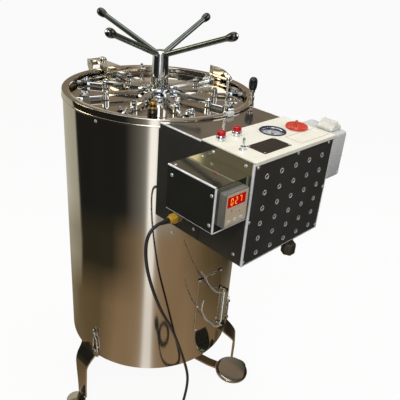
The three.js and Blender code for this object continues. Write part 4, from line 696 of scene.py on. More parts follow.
slope = Matrix.Translation((0, 120, 150)) @ Matrix.Rotation(math.atan2(35, 424), 4, "X")
arm_line = [(0, 0), (20, -180), (30, -280), (36, -322), (48, -358), (66, -394), (84, -424)]
arm = placed(prism(strip(arm_line, 27), -3, 3), slope)
dish = turned([(0, -3), (46.8, -3), (46.8, -4), (48.8, -4), (49.8, -3.3), (50, -2.4), (50, 2.2), (49.5, 3.8),
               (48.2, 4.8), (46, 5.3), (40, 5.55), (30, 5.75), (15, 5.95), (0, 6)], 128)
top = slope @ Matrix.Translation((84, -424, 0))
rear = block(-13.5, 13.5, 120, 282, 147, 153)
tube = placed(turned([(6.5, -20), (10, -20), (10, 20), (6.5, 20), (6.5, -20)], 40), facing((0, 120, 150), (1, 0, 0)))
build("foot_pedal", [arm, placed(dish, top), rear, tube], "pedal", mirror_steel, "pedal_lever", 0.6)

# %% [markdown]
# Each leg is one flat steel bar, bent out under the tank and down to a round foot, wide at the tank
# and narrow at the foot. A smooth curve through the bends gives the soft S that a press leaves. Beside
# it sit the chromed loop, bolt and wing nut that fix it to the jacket.

# %% Legs
FACE_LINE = [(244, 194.6, 74, 0), (246, 190, 73, 0.02), (250.6, 181.6, 70.4, 0.07), (256.4, 174.4, 67.8, 0.13),
             (264, 165, 64.4, 0.28), (270.4, 153.6, 59.8, 0.58), (274.6, 141, 54.8, 0.88), (276, 126, 50.8, 1),
             (276, 90, 45.8, 1), (276, 50, 39.8, 1), (276, 9, 37.8, 1)]


def leg(bearing, reach):
    line = smooth_path([(r + reach * share, w, z) for r, z, w, share in FACE_LINE], 5)
    rows = []
    for i, p in enumerate(line):
        a, b = line[max(i - 1, 0)], line[min(i + 1, len(line) - 1)]
        along = Vector((b.x - a.x, 0, b.z - a.z)).normalized()
        inward = Vector((along.z, 0, -along.x)) * 6
        w = p.y / 2
        face = Vector((p.x, 0, p.z))
        rows.append([face + Vector((0, -w, 0)), face + Vector((0, w, 0)),
                     face + inward + Vector((0, w, 0)), face + inward + Vector((0, -w, 0))])
    tab = block(237.2, 245, -36.6, 36.6, 188.8, 194.6)
    foot = turned([(0, 0), (28, 0), (29, 1), (29, 6.6), (28.2, 8.2), (26, 9.4), (22, 10), (0, 10)], 72)
    return [placed(lofted(rows), bearing_turn(bearing)), placed(tab, bearing_turn(bearing)),
            placed(foot, Matrix.Translation(polar(297 + reach, bearing, 0)))]


def fixing(bearing, aside):
    put = bearing_turn(bearing + math.degrees(aside / 250)) @ Matrix(
        ((0, 0, 1, 250.6), (1, 0, 0, 0), (0, 1, 0, 200), (0, 0, 0, 1)))
    half_turn = [math.pi * k / 16 for k in range(17)]
    oval = [(8.9 * math.cos(a + math.pi), 11 + 8.9 * math.sin(a + math.pi), 2.4) for a in half_turn]
    oval += [(6.6 * math.cos(a), 53.2 + 6.6 * math.sin(a), 2.4) for a in half_turn]
    oval.append(oval[0])
    parts = [rod(oval, 2.1, 14), rod([(0, 58, 2), (0, 77, 2)], 2.2, 14)]
    parts.append(placed(turned([(0, 0), (6.2, 0), (6.2, 4), (5.6, 6), (3.6, 7.4), (0, 8)], 32),
                        Matrix.Translation((0, 11, 0.2))))
    parts.append(placed(turned([(0, 0), (4.6, 0), (4.6, 5), (3.4, 7), (0, 7.8)], 28), Matrix.Translation((0, 77, 0.2))))
    for hand in (-1, 1):
        wing = prism([(-2.4, 1), (2.4, 1), (3, 6), (3.4, 11), (2.6, 14.6), (0.6, 16), (-1.6, 15), (-2.8, 11),
                      (-2.6, 6)], 1.6, 4.2)
        parts.append(placed(wing, Matrix.Translation((0, 77, 0)) @ Matrix.Rotation(-hand * math.radians(38), 4, "Z")))
    parts.append(prism([(-8, -13), (8, -13), (8, 6), (4.4, 10.8), (-4.4, 10.8), (-8, 6)], 0.2, 2.2))
    parts.append(block(-8, 8, -13, -6, -12.8, 2.2))
    return [placed(p, put) for p in parts]


for side, bearing, reach, aside in (("left", -89, 0, 40), ("right", 40, 15, 6), ("rear", 150, 0, 40)):
    build(f"bent_leg_{side}", leg(bearing, reach), "autoclave", mirror_steel, f"leg_{side}", 0.7)
    build(f"leg_fixing_{side}", fixing(bearing, aside), "autoclave", chrome, bevel=0.3)

# %% [markdown]
# The control box keeps its own folded-sheet solid, because flat sheet is right as it is, and gets the
# buffed finish and rounded folds. The perforated front is remade so that its holes are truly round,
# with the slight dish that punching leaves.

# %% Control box front and screws
hole_places = [(-21 + 48 * (column - 2), 914 - 36 * row) for column in range(5) for row in range(6)]
plate = pierced([(-158.7, 716.3), (110.7, 716.3), (110.7, 948.7), (-158.7, 948.7)],
                [ring_of(4.6, 28, x, z) for x, z in hole_places], 0, 2)
to_front = Matrix(((1, 0, 0, 0), (0, 0, 1, -473), (0, 1, 0, 0), (0, 0, 0, 1)))
build("punched_front", [placed(plate, to_front)], "autoclave", box_steel, "front_grille")
burr = turned([(4.3, -1.6), (4.5, 0.3), (4.9, 0.75), (5.4, 0.55), (5.9, 0.02), (4.62, 0.02), (4.6, -1.6), (4.3, -1.6)], 28)
build("rolled_hole_rims", [placed(burr, facing((x, -473, z), (0, -1, 0))) for x, z in hole_places], "autoclave",
      zinc)

# The fold rods carry the painted highlight finish: near-white for the light that rounded folds catch.
folds = [rod([(-159.6, -471.6, 716), (-159.6, -471.6, 950.2)], 3.0, 24),
         rod([(111.3, -471.4, 716), (111.3, -471.4, 950.2)], 2.2, 20)]
folds += [rod([(x, -326.4, 949.2), (x, y, 949.2)], 2.2, 20) for x, y in ((-159.4, -195.4), (111.4, -226.6))]
folds += [rod([(-159.4, -471.4, 715.8), (111.3, -471.4, 715.8)], 1.8, 20),
          rod([(-159.4, -471.4, 715.8), (-159.4, -200, 715.8)], 1.6, 20)]
folds += [rod([(-253.8, -464.8, 827.6), (-253.8, -464.8, 923.4)], 2.3, 24),
          rod([(-253.6, -464.8, 923.6), (-253.6, -332.6, 923.6)], 2.2, 24),
          rod([(-253.6, -464.8, 827.4), (-162, -464.8, 827.4)], 1.9, 20),
          rod([(-253.6, -464.8, 827.4), (-253.6, -332.6, 827.4)], 1.5, 20)]
build("sheet_folds", folds, "autoclave", fold_highlight_paint)

screws = []
for x, z in ((-148, 941), (-19, 941), (94, 941), (107, 827), (107, 724), (-155.5, 723), (-154, 820)):
    screws += pan_screw((x, -473, z), (0, -1, 0), 3.8)
for y, z in ((-324, 735), (-447, 733), (-363, 938), (-452, 940)):
    screws += pan_screw((-161, y, z), (-1, 0, 0), 3.8)
for y, z in ((-345, 905), (-456, 905), (-456, 842)):
    screws += pan_screw((-255, y, z), (-1, 0, 0), 3.8)
for x, y in ((-246, -345), (-172, -345)):
    screws += pan_screw((x, y, 925), (0, 0, 1), 3.0)
build("box_screws", screws, "autoclave", [zinc, ink_and_slot_shade])

# %% [markdown]
# The top panel is a separate enamelled plate with a folded front lip. On it stand two pilot lamps, a
# toggle switch, a recessed pressure gauge and the red heat knob, and a bare dark plate is riveted
# beside them.

# %% Panel
GAUGE_X, GAUGE_Y, HEAT_X, HEAT_Y, TOGGLE_X, TOGGLE_Y, LAMP_Y = 7, -380, 73, -396, -130, -414, -351.5
panel_holes = [ring_of(28.2, 64, GAUGE_X, GAUGE_Y), ring_of(4, 24, HEAT_X, HEAT_Y), ring_of(6, 24, TOGGLE_X, TOGGLE_Y)]
panel_holes += [ring_of(8.5, 32, x, LAMP_Y) for x in (-129, -80.5)]
outline = [(-161, -475.3), (113, -475.3), (113, -327), (-161, -327)]
build("enamelled_panel", [pierced(outline, panel_holes, 951.3, PANEL_TOP), block(-161, 113, -475.3, -473.3, 946.3, 952)],
      "autoclave", enamel, "control_panel", 0.5, 40)
bush = turned([(4.6, -7), (5.6, -7), (5.6, -0.3), (8.4, -0.3), (8.4, 0.05), (6.6, 0.05), (6.6, 2.2), (5.6, 2.4),
               (5.6, 7), (4.6, 7), (4.6, -7)], 32)
nut = pierced(ring_of(7.2, 6), [ring_of(5.65, 24)], 0, 2.3)
put = Matrix.Translation((TOGGLE_X, TOGGLE_Y, PANEL_TOP))
build("toggle_bush", [placed(bush, put), placed(nut, put)], "autoclave", chrome, bevel=0.2)
lever = turned([(0, -4.2), (3, -3), (4.2, 0), (3, 3), (1.9, 4.2), (1.9, 6), (2.6, 20), (2.6, 22.4), (2.0, 24), (0, 24.5)], 32)
build("toggle_bat", [placed(lever, put)], "toggle", chrome, "toggle_lever")

for number, x in enumerate((-129, -80.5), 1):
    put = Matrix.Translation((x, LAMP_Y, PANEL_TOP))
    bezel = turned([(0, -22), (8, -22), (8, 0.3), (11, 0.3), (11, 2), (10.6, 2.6), (10.6, 8.6), (9.8, 10), (0, 10)], 48)
    lens = turned([(0, 9.8), (9.5, 9.8), (9.5, 16), (8.6, 18.6), (6.4, 19.7), (0, 20)], 48)
    build(f"pilot_light_{number}", [placed(bezel, put, 0), placed(lens, put, 1)], "autoclave", [chrome, lamp_lens],
          f"pilot_lamp_{number}", 0.3)

badge = [block(-112, -25, -457, -407, PANEL_TOP, PANEL_TOP + 0.8)]
build("riveted_plate", badge, "autoclave", dark_plate, bevel=0.3)
rivets = []
for x in (-108, -29):
    for y in (-453, -411):
        rivets.append(placed(turned([(0, 1.7), (1.1, 1.4), (1.7, 0.8), (1.7, 0.4), (0, 0.4)], 16),
                             Matrix.Translation((x, y, PANEL_TOP + 0.2))))
build("plate_rivets", rivets, "autoclave", aluminium)
frame_line = [(block(x0, x1, y0, y1, PANEL_TOP, PANEL_TOP + 0.08)) for x0, x1, y0, y1 in (
    (2, 104, -419.6, -418.6), (2, 104, -462.4, -461.4), (2, 3, -462.4, -418.6), (103, 104, -462.4, -418.6))]
build("panel_frame_line", frame_line, "autoclave", ink_brown)

# %% [markdown]
# The gauge is sunk into the panel: a blue-black cup with a bright bezel, a pale dial with a scale from
# 0 to 4 round three quarters of its edge, a slim pointer, and flat glass on top.

# %% Gauge
put = Matrix.Translation((GAUGE_X, GAUGE_Y, PANEL_TOP))
cup = turned([(0, -26), (27.5, -26), (27.5, 0.3), (30.5, 0.3), (30.5, 1.3), (29.9, 2.1), (28.6, 2.2), (27.2, 1.7),
              (26.9, 0.9), (26.9, -3.9), (25.5, -3.9), (25.5, -8), (0, -8)], 96)
build("gauge_cup", [placed(cup, put)], "autoclave", blue_enamel, "gauge_case", 0.2)
marks = [placed(turned([(0, -7.98), (25.2, -7.98), (25.2, -7.9), (0, -7.9)], 64), put, 0)]
for k in range(41):
    angle = math.radians(225 - 270 * k / 40)
    long = k % 10 == 0
    tick = block(19.5 if long else 21.5, 24, -0.45 if long else -0.2, 0.45 if long else 0.2, -7.92, -7.8)
    marks.append(placed(tick, put @ Matrix.Rotation(angle, 4, "Z"), 1))
build("gauge_dial", marks, "autoclave", [dial_card, ink_and_slot_shade])
keeper = turned([(25.7, -1.55), (26.8, -1.55), (26.8, -0.7), (26.3, -0.5), (25.7, -0.9), (25.7, -1.55)], 96)
build("gauge_keeper_ring", [placed(keeper, put)], "autoclave", chrome)
for k in range(5):
    angle = math.radians(225 - 270 * k / 4)
    text = bpy.data.curves.new(f"dial_number_{k}", "FONT")
    text.body, text.size, text.align_x, text.align_y, text.extrude = str(k), 0.0052, "CENTER", "CENTER", 0.00004
    text.materials.append(ink_and_slot_shade)
    number = bpy.data.objects.new(f"dial_number_{k}", text)
    bpy.context.scene.collection.objects.link(number)
    number.location = at(GAUGE_X + 15.6 * math.cos(angle), GAUGE_Y + 15.6 * math.sin(angle), PANEL_TOP - 7.8)
    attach(number, "autoclave")
needle = [placed(prism([(-7, -1.1), (0, -1.1), (21, -0.25), (21, 0.25), (0, 1.1), (-7, 1.1)], -7.7, -6.7),
                 put @ Matrix.Rotation(math.radians(225), 4, "Z")),
          placed(turned([(0, -7.7), (3.4, -7.7), (3.4, -6.2), (2.6, -5.7), (0, -5.7)], 32), put)]
build("gauge_pointer", needle, "needle", ink_and_slot_shade, "gauge_needle", 0.1)
pane = turned([(0, -3.6), (26.6, -3.6), (26.6, -1.6), (0, -1.6)], 96)
build("gauge_pane", [placed(pane, put)], "autoclave", glass, "gauge_glass")

# %% [markdown]
# The heat knob is a low red disc with a grip ridge across it, and golden marks on the ridge show where
# it points.

# %% Heat knob
put = Matrix.Translation((HEAT_X, HEAT_Y, PANEL_TOP + 1.2)) @ Matrix.Rotation(math.radians(41), 4, "Z")
skirt = turned([(0, 0), (24.9, 0), (25.5, 0.8), (25.5, 3.2), (24.6, 5.2), (23, 6.3), (20, 6.9), (10, 7.3), (0, 7.4)], 96)
ridge_rows = []
for x in range(-20, 21, 2):
    share = math.sqrt(max(0.0, 1 - (x / 21.4) ** 2))
    h, w = 6.4 + 6.9 * share ** 0.6, 2 + 1.4 * share
    ridge_rows.append([(x, -w, 6.2), (x, w, 6.2), (x, w * 0.75, h), (x, -w * 0.75, h)])
gold = [placed(turned([(0, 0), (2.6, 0), (2.4, 0.8), (0, 1)], 24), Matrix.Translation((x, 0, 6.2)))
        for x in (-22, 22)]
shaft = turned([(0, -18), (3, -18), (3, 1), (0, 1)], 16)
knob_parts = [placed(skirt, put, 0), placed(lofted(ridge_rows), put, 0), placed(shaft, put, 2)]
knob_parts += [placed(g, put, 1) for g in gold]
build("heat_control_knob", knob_parts, "heat_knob", [red_urea, gold_foil, chrome], "heat_knob", 0.4)
scale_marks = []
for k in range(4):
    angle = math.radians(191 - 100 * k)
    scale_marks.append(placed(block(27.5, 31, -0.5, 0.5, PANEL_TOP, PANEL_TOP + 0.08),
                              Matrix.Translation((HEAT_X, HEAT_Y, 0)) @ Matrix.Rotation(angle, 4, "Z")))
build("heat_scale", scale_marks, "autoclave", ink_and_slot_shade)

# %% [markdown]
# The temperature controller is a moulded case behind a square bezel, with a red filter window, lit
# figures and three soft keys. The figures are a plain two-digit reading made of seven-segment bars.

# %% Controller
FACE = -480.3


def rounded(x0, x1, z0, z1, r, steps=6):
    corners = [(x1 - r, z1 - r, 0), (x0 + r, z1 - r, 90), (x0 + r, z0 + r, 180), (x1 - r, z0 + r, 270)]
    return [(x + r * math.cos(math.radians(d + 90 * k / steps)), z + r * math.sin(math.radians(d + 90 * k / steps)))
            for x, z, d in corners for k in range(steps + 1)]


to_face = Matrix(((1, 0, 0, 0), (0, 0, 1, 0), (0, 1, 0, 0), (0, 0, 0, 1)))
keys_x = [-244 + 33 + 18 * (i - 1) for i in range(3)]
pockets = [[(x - 5.3, 848.2), (x + 5.3, 848.2), (x + 5.3, 855.8), (x - 5.3, 855.8)] for x in keys_x]
bezel = pierced(rounded(-244, -178, 842, 913, 3), pockets, FACE, FACE + 4.2)
rest = prism(rounded(-244, -178, 842, 913, 3), FACE + 4.2, -466.3)
case = block(-241, -181, -466.6, -408, 845, 910)
build("controller_case", [placed(bezel, to_face), placed(rest, to_face), case], "autoclave", abs_case,
      "temperature_controller", 0.6, 45)
skin = pierced(rounded(-239, -179.4, 843.6, 911.2, 2), pockets, FACE - 0.15, FACE + 0.2)
build("face_membrane", [placed(skin, to_face)], "autoclave", membrane, crease=45)
for number, x in enumerate(keys_x, 1):
    cushion = placed(prism(rounded(x - 5, x + 5, 848.5, 855.5, 1.6), FACE - 1.2, FACE + 2.4), to_face)
    build(f"soft_key_{number}", [cushion], f"key_{number}", keypad, f"controller_key_{number}", 0.5, 45)
SEGMENTS = {"0": "abcdef", "2": "abged", "7": "abc"}
BARS = {"a": (0, 6.6, 4.2, 1.2), "g": (0, 0, 4.2, 1.2), "d": (0, -6.6, 4.2, 1.2), "b": (2.6, 3.3, 1.2, 5),
        "c": (2.6, -3.3, 1.2, 5), "f": (-2.6, 3.3, 1.2, 5), "e": (-2.6, -3.3, 1.2, 5)}
display = [placed(prism(rounded(-236, -186, 883, 905, 1), FACE - 0.25, FACE + 0.3), to_face, 0)]
for place_x, figure in ((-224, "0"), (-212, "2"), (-200, "7")):
    for name in SEGMENTS[figure]:
        x, z, w, h = BARS[name]
        display.append(block(place_x + x - w / 2, place_x + x + w / 2, FACE - 0.4, FACE, 894 + z - h / 2, 894 + z + h / 2) + (1,))
for x, z, w in ((-222, 874, 1.6), (-200, 868, 1.6)):
    display.append(placed(turned([(0, 0.5), (w, 0.3), (w, -0.2), (0, -0.2)], 16), facing((x, FACE, z), (0, -1, 0)), 0))
build("lit_display", display, "autoclave", [window_red, lit_segment], crease=40)

# %% [markdown]
# The metal-clad socket is a cast and tumbled aluminium box. A pale round plug with a square grip
# stands in it.

# %% Metal-clad socket
def soft_rows(x0, x1, y0, y1, z0, z1, r, dish=0.0):
    rows = []
    for z, inset in ((z0, r * 0.6), (z0 + r * 0.4, r * 0.2), (z0 + r, 0), (z1 - r, dish), (z1 - r * 0.4, r * 0.2 + dish),
                     (z1, r * 0.6 + dish)):
        rows.append([(x, y, z) for x, y in rounded(x0 + inset, x1 - inset, y0 + inset, y1 - inset, r)])
    return rows


middle = (113.3 + 170) / 2
mouth = ring_of(17.1, 28, middle, -437, math.pi / 28)
shell = lofted(soft_rows(113.3, 170, -472, -371, 840.1, 951.6, 6) + [[(x, y, z) for x, y in mouth] for z in (951.6, 932.4)])
seam = block(113.3, 170.1, -472.1, -371, 889.4, 890.4)
build("socket_casting", [shell, seam], "autoclave", aluminium, "clad_socket", 0.5, 40)
cover_screws = []
for y in (-464, -379):
    for z in (850, 940):
        cover_screws += pan_screw((169.9, y, z), (1, 0, 0), 3.2)
for x in (122, 161):
    cover_screws += pan_screw((x, -471.9, 849), (0, -1, 0), 3.0)
build("socket_screws", cover_screws, "autoclave", [zinc, ink_and_slot_shade])
base = lofted(soft_rows(middle - 21, middle + 21, -459, -415, 952.3, 965.5, 5, 1.0))
grip = lofted(soft_rows(middle - 11, middle + 11, -458, -416, 958, 972.2, 4, 2.2))
shank = placed(turned([(0, 935.2), (16.1, 935.2), (16.1, 955), (0, 955)], 48), Matrix.Translation((middle, -437, 0)))
rib = [block(middle - 9.4, middle + 9.4, -453 + 8 * k, -450.4 + 8 * k, 971, 972.3) for k in range(5)]
build("square_grip_plug", [base, grip, shank] + rib, "clad_plug", white_urea, "clad_plug", 0.4, 40)

# %% [markdown]
# Under the box hangs the pressure switch's knob, a fluted rubber-coated grip on a plain neck.

# %% Pressure knob
put = Matrix.Translation((27, -461, 0))
flutes = []
for z, r in ((668, 14), (669.5, 16), (672, 17), (692, 17), (696, 16), (698, 13.6)):
    flutes.append([((r - 2 * (0.5 - 0.5 * math.cos(6 * a))) * math.cos(a), (r - 2 * (0.5 - 0.5 * math.cos(6 * a))) * math.sin(a), z)
                   for a in (2 * math.pi * k / 72 for k in range(72))])
neck = turned([(0, 697), (8, 697), (8, 713.4), (5, 713.5), (5, 728), (0, 728)], 32)
build("pressure_set_knob", [placed(lofted(flutes), put), placed(neck, put)], "pressure_knob", olive_rubber,
      "pressure_switch_knob", 0.5, 45)

# %% [markdown]
# Low on the tank are a curved service cover, held by screws, and the water gauge: two nickel cocks with
# bent rod levers and a glass tube between them.

# %% Service cover and water gauge
arc = [polar(252.7, -10.5 + 21.5 * k / 40, 0).to_2d() for k in range(41)]
arc += [polar(250.25, 11 - 21.5 * k / 40, 0).to_2d() for k in range(41)]
build("curved_cover", [prism([tuple(p) for p in arc], 307, 493)], "autoclave", mirror_steel, "service_cover",
      0.6, 40)
hem = [polar(251.6, -10.3 + 21.1 * k / 20, z) for z, order in ((492, 1), (308, -1)) for k in range(21)[::order]]
build("cover_hem", [rod(hem + [hem[0]], 1.3, 12)], "autoclave", mirror_steel)
cover_heads = []
for bearing, z in ((-9.2, 488), (9.7, 488), (-9.2, 398), (-9.2, 313), (9.7, 313)):
    cover_heads += pan_screw(polar(252.7, bearing, z), polar(1, bearing, 0), 3.4)
build("cover_screws", cover_heads, "autoclave", [zinc, ink_and_slot_shade])

put = bearing_turn(15)
LOW_COCK, HIGH_COCK, TUBE = 277, 410, 256.8
cocks = []
for z, hand in ((LOW_COCK, 1), (HIGH_COCK, -1)):
    cocks.append(placed(turned([(0, 0), (6, 0), (6, 1.4), (4.9, 2), (4.9, 11.6), (4.4, 12.4), (0, 12.4)], 32),
                        put @ facing((250.4, 0, z), (1, 0, 0))))
    ends = [(0, -5 * hand), (5, -5 * hand), (6, -3.6 * hand), (6, 5 * hand), (5.2, 9 * hand), (0, 9 * hand)]
    cocks.append(placed(turned(ends, 32), put @ Matrix.Translation((TUBE, 0, z))))
build("gauge_cocks", cocks, "autoclave", nickel, "level_gauge", 0.3)
tube = turned([(3.5, LOW_COCK + 8), (3.5, HIGH_COCK - 8), (2.4, HIGH_COCK - 8), (2.4, LOW_COCK + 8), (3.5, LOW_COCK + 8)], 32)
build("water_tube", [placed(tube, put @ Matrix.Translation((TUBE, 0, 0)))], "autoclave", glass)
LEVERS = {"upper": ([(0, 0), (-33, 12), (-64, 32), (-90, 58), (-112, 84), (-128, 105), (-148, 137), (-171, 165)],
                    [1.9, 2.0, 3, 3, 2, 2, 1.8, 1.6]),
          "lower": ([(0, 0), (-52, 31), (-85, 69), (-111, 96), (-125, 116), (-142, 146), (-148, 164), (-142, 187)],
                    [2, 3, 2.4, 3, 3, 2, 1.8, 1.6])}
for name, z in (("upper", HIGH_COCK), ("lower", LOW_COCK)):
    points, sizes = LEVERS[name]
    line = smooth_path([(266.1, across, rise) for across, rise in points], 6)
    girth = []
    for a, b in zip(sizes, sizes[1:]):
        girth += [a + (b - a) * (0.5 - 0.5 * math.cos(math.pi * k / 6)) for k in range(6)]
    arm = rod(line, girth + [sizes[-1]], 18)
    hub = placed(turned([(0, 0), (6, 0), (6.4, 0.8), (6.4, 4.2), (5.4, 5.6), (3, 6), (0, 6)], 36),
                 facing((263.1, 0, 0), (1, 0, 0)))
    lift = put @ Matrix.Translation((0, 0, z))
    build(f"{name}_lever_rod", [placed(arm, lift, 0), placed(hub, lift, 1)], f"{name}_lever", [zinc, aged_brass],
          f"{name}_cock_lever", 0.2)

# %% [markdown]
# Every solid that is still shown as it came gets its finish here, and a small bevel as a modifier,
# which leaves its mesh untouched.

# %% Finishes for the solids that stay
KEEP = {"pressure_chamber": satin_steel, "base_plate": satin_steel, "instrument_basket": satin_steel,
        "lid_gasket": silicone, "hinge_bracket": mirror_steel, "control_box": box_steel,
        "controller_housing": housing_steel, "immersion_heater": chrome}
for name, finish in KEEP.items():
    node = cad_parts[name]
    node.data.materials.clear()
    node.data.materials.append(finish)
    edge = node.modifiers.new("rounded_edges", "BEVEL")
    edge.width, edge.segments, edge.limit_method = 0.0005, 2, "ANGLE"
    edge.angle_limit = math.radians(40)
shown = [n for n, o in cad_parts.items() if not o.hide_render]
print("solids still shown:", sorted(shown))
print("pieces built:", len(built))

# %% [markdown]
# The set is a pale floor and soft lamps. The floor and the world look white to the camera and in
# reflections, while the light that falls on the object stays at a plain level. Polished metal shows
# only what stands round it, so glowing cards, shaped like the stands of a product studio, give the tank
# its dark and bright streaks. Their tones are painted light and shade: a strip light, a window, a lit
# bounce card, dark flats, and a floor with painted shade and the flats' painted shadow. They belong to
# the set, glow by their own emission and are seen only in reflections.

# %% World and floor
world = bpy.data.worlds.new("studio")
bpy.context.scene.world = world
world.use_nodes = True
tree = world.node_tree
tree.nodes.clear()
rays = add(tree, "ShaderNodeLightPath")
seen = add(tree, "ShaderNodeMath", {0: (rays, "Is Camera Ray"), 1: (rays, "Is Glossy Ray")}, operation="MAXIMUM")
seen = add(tree, "ShaderNodeMath", {0: (seen, "Value"), 1: (rays, "Is Transmission Ray")}, operation="MAXIMUM")
light = add(tree, "ShaderNodeBackground", {"Color": linear("#f4f3f0"), "Strength": 0.4})
white = add(tree, "ShaderNodeBackground", {"Color": (1, 1, 1, 1), "Strength": 1.0})
both = add(tree, "ShaderNodeMixShader", {0: (seen, "Value"), 1: (light, "Background"), 2: (white, "Background")})
add(tree, "ShaderNodeOutputWorld", {"Surface": (both, "Shader")})

floor_finish = bpy.data.materials.new("white_paper_floor")
floor_finish.use_nodes = True
tree = floor_finish.node_tree
shader = tree.nodes["Principled BSDF"]
shader.inputs["Base Color"].default_value = linear("#f2f1ee")
shader.inputs["Roughness"].default_value = 0.9
rays = add(tree, "ShaderNodeLightPath")
seen = add(tree, "ShaderNodeMath", {0: (rays, "Is Camera Ray"), 1: (rays, "Is Glossy Ray")}, operation="MAXIMUM")
seen = add(tree, "ShaderNodeMath", {0: (seen, "Value"), 1: (rays, "Is Transmission Ray")}, operation="MAXIMUM")
glow = add(tree, "ShaderNodeEmission", {"Color": (1, 1, 1, 1), "Strength": (seen, "Value")})
mix = add(tree, "ShaderNodeMixShader", {0: 0.92, 1: (shader, "BSDF"), 2: (glow, "Emission")})
tree.links.new(mix.outputs[0], tree.nodes["Material Output"].inputs["Surface"])
floor_mesh = bpy.data.meshes.new("floor")
half = 30.0
floor_mesh.from_pydata([(-half, -half, 0), (half, -half, 0), (half, half, 0), (-half, half, 0)], [], [(0, 1, 2, 3)])
floor_mesh.materials.append(floor_finish)
floor = bpy.data.objects.new("floor", floor_mesh)
floor.location.z = -0.0005
bpy.context.scene.collection.objects.link(floor)
floor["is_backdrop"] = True

# %% Tones of the set
CAMERA_BEARING = -40.6
BLACK_FLAT, GREY_CARD, WARM_CARD, BOUNCE_CARD = "#1c1c1a", "#8c8880", "#a09c8e", "#e8d8b8"
# The floor tones include painted shade and, in the darkest tone, the painted shadow that the flats cast on the floor.
BROWN_FLOOR, SHADED_FLOOR, FLAT_SHADOW_FLOOR, TAN_FLOOR = "#826c52", "#5a4c36", "#2c281e", "#86806f"
WARM_WALL, SAND_WALL, SLATE_WALL, WINDOW = "#7a6c5e", "#b6a88c", "#343b3e", "#f4f7fa"
DIM_CEILING, PALE_CEILING = "#535752", "#8c9294"
STRIP, STRIP_COLOUR = (-6.5, -0.5), "#ffffff"
# Each surface: tones by degrees off the camera's bearing, how much of the strip light it shows, and
# over how many degrees that light fades out
STANDS = ([(-180, WARM_CARD), (-101, WARM_CARD), (-99, BLACK_FLAT), (-32, BLACK_FLAT), (10, GREY_CARD),
           (20, GREY_CARD), (45, BLACK_FLAT), (120, BLACK_FLAT), (180, WARM_CARD)], 1.0, 1.5)
FAR = ([(-180, TAN_FLOOR), (-104, TAN_FLOOR), (-98, FLAT_SHADOW_FLOOR), (-50, FLAT_SHADOW_FLOOR), (-5, BROWN_FLOOR),
        (30, BROWN_FLOOR), (70, SHADED_FLOOR), (120, FLAT_SHADOW_FLOOR), (180, TAN_FLOOR)], 0.75, 2.0)
NEAR = ([(-180, TAN_FLOOR), (-104, SHADED_FLOOR), (-66, SHADED_FLOOR), (-40, BROWN_FLOOR), (40, BROWN_FLOOR),
         (100, SHADED_FLOOR), (180, TAN_FLOOR)], 0.65, 2.5)
BEHIND = ([(-180, WARM_WALL), (180, WARM_WALL)], 0, 1)
BOUNCE = ([(-108, BOUNCE_CARD), (-86, BOUNCE_CARD)], 0, 1)
ROOM = ([(-180, WARM_WALL), (-110, WARM_WALL), (-98, SAND_WALL), (-72, SAND_WALL), (-60, SLATE_WALL),
         (-28, SLATE_WALL), (-4, WINDOW), (6, WINDOW), (18, WARM_WALL), (180, WARM_WALL)], 0, 1)
CEILING = ([(-180, DIM_CEILING), (-60, DIM_CEILING), (0, PALE_CEILING), (60, DIM_CEILING), (180, DIM_CEILING)], 0, 1)


def tone(zones, shine, spread, bearing):
    """The tone of a surface at a bearing: its zones blend, and the strip light fades out over them."""
    for (a, first), (b, second) in zip(zones, zones[1:]):
        if a <= bearing <= b:
            share = (bearing - a) / (b - a)
            plain = [p + (q - p) * share for p, q in zip(linear(first), linear(second))]
            past = max(STRIP[0] - bearing, bearing - STRIP[1], 0)
            glow = shine / (1 + (past / spread) ** 2)
            return [p + (q - p) * glow for p, q in zip(plain, linear(STRIP_COLOUR))]
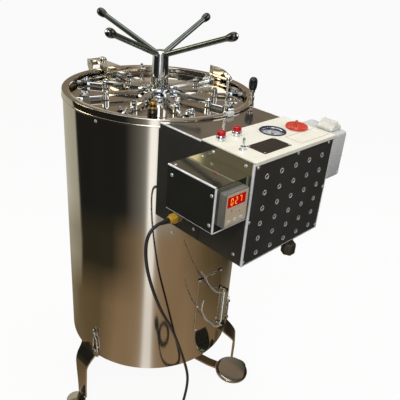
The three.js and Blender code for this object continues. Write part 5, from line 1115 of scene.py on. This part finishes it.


# %% Glowing card stands for the reflections
def card(name, start, end, rows, strength):
    """A curved glowing card from start to end degrees, its tones painted light and shade; each row is a radius, a
    height and its colours.
    """
    finish = bpy.data.materials.new(name)
    finish.use_nodes = True
    t = finish.node_tree
    t.nodes.clear()
    paint = add(t, "ShaderNodeAttribute", attribute_name="tone")
    glow = add(t, "ShaderNodeEmission", {"Color": (paint, "Color"), "Strength": strength})
    add(t, "ShaderNodeOutputMaterial", {"Surface": (glow, "Emission")})
    mesh = bpy.data.meshes.new(name)
    steps = (end - start) // 2
    angles = [start + 2 * k for k in range(steps + 1)]
    verts = [TO_FRAME @ polar(radius, CAMERA_BEARING + a, z) for radius, z, table in rows for a in angles]
    n = steps + 1
    mesh.from_pydata(verts, [], [(r * n + k, r * n + k + 1, r * n + n + k + 1, r * n + n + k)
                                 for r in range(len(rows) - 1) for k in range(steps)])
    colours = mesh.color_attributes.new("tone", "FLOAT_COLOR", "POINT")
    off = [(a + 180) % 360 - 180 for a in angles]
    for i, (row, a) in enumerate((row, a) for row in rows for a in off):
        colours.data[i].color = tone(*row[2], a)
    mesh.materials.append(finish)
    stand = bpy.data.objects.new(name, mesh)
    bpy.context.scene.collection.objects.link(stand)
    stand.visible_camera = stand.visible_diffuse = stand.visible_shadow = stand.visible_transmission = False
    stand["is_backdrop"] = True
    return stand


card("studio_surround", -180, 180, [(5, 3, NEAR), (540, 4, NEAR), (760, 4, FAR), (900, 5, FAR), (901, 60, FAR),
                                    (902, 235, STANDS), (903, 1150, STANDS)], 1.6)
card("studio_backdrop", 130, 230, [(2000, 1150, BEHIND), (2001, 3000, BEHIND)], 1.5)
card("studio_bounce", -108, -86, [(2600, 1500, BOUNCE), (2601, 2900, BOUNCE)], 8.0)
card("studio_room", -180, 180, [(3800, 900, ROOM), (3801, 3000, ROOM), (3600, 4000, CEILING), (900, 4001, CEILING),
                                (5, 4002, CEILING)], 1.4)

# %% Lamps
for name, spot, size, power in (("key", (-1.7, -1.5, 2.6), 1.8, 42), ("fill", (2.0, -1.6, 2.2), 2.0, 20),
                                ("top", (0.2, 0.6, 3.0), 2.2, 22)):
    lamp = bpy.data.lights.new(name, "AREA")
    lamp.shape, lamp.size, lamp.energy = "DISK", size, power
    holder = bpy.data.objects.new(name, lamp)
    holder.location = spot
    holder.rotation_euler = (Vector((0, 0, 0.6)) - Vector(spot)).to_track_quat("-Z", "Y").to_euler()
    bpy.context.scene.collection.objects.link(holder)
bpy.context.scene.view_settings.view_transform = "Standard"

# %% Sizes and finish
low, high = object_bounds()
sizes = {"cad": [list(cad_box[0]), list(cad_box[1])], "visual": [list(low), list(high)]}
print("cad box", [[round(v, 4) for v in p] for p in sizes["cad"]])
print("visual box", [[round(v, 4) for v in p] for p in sizes["visual"]])
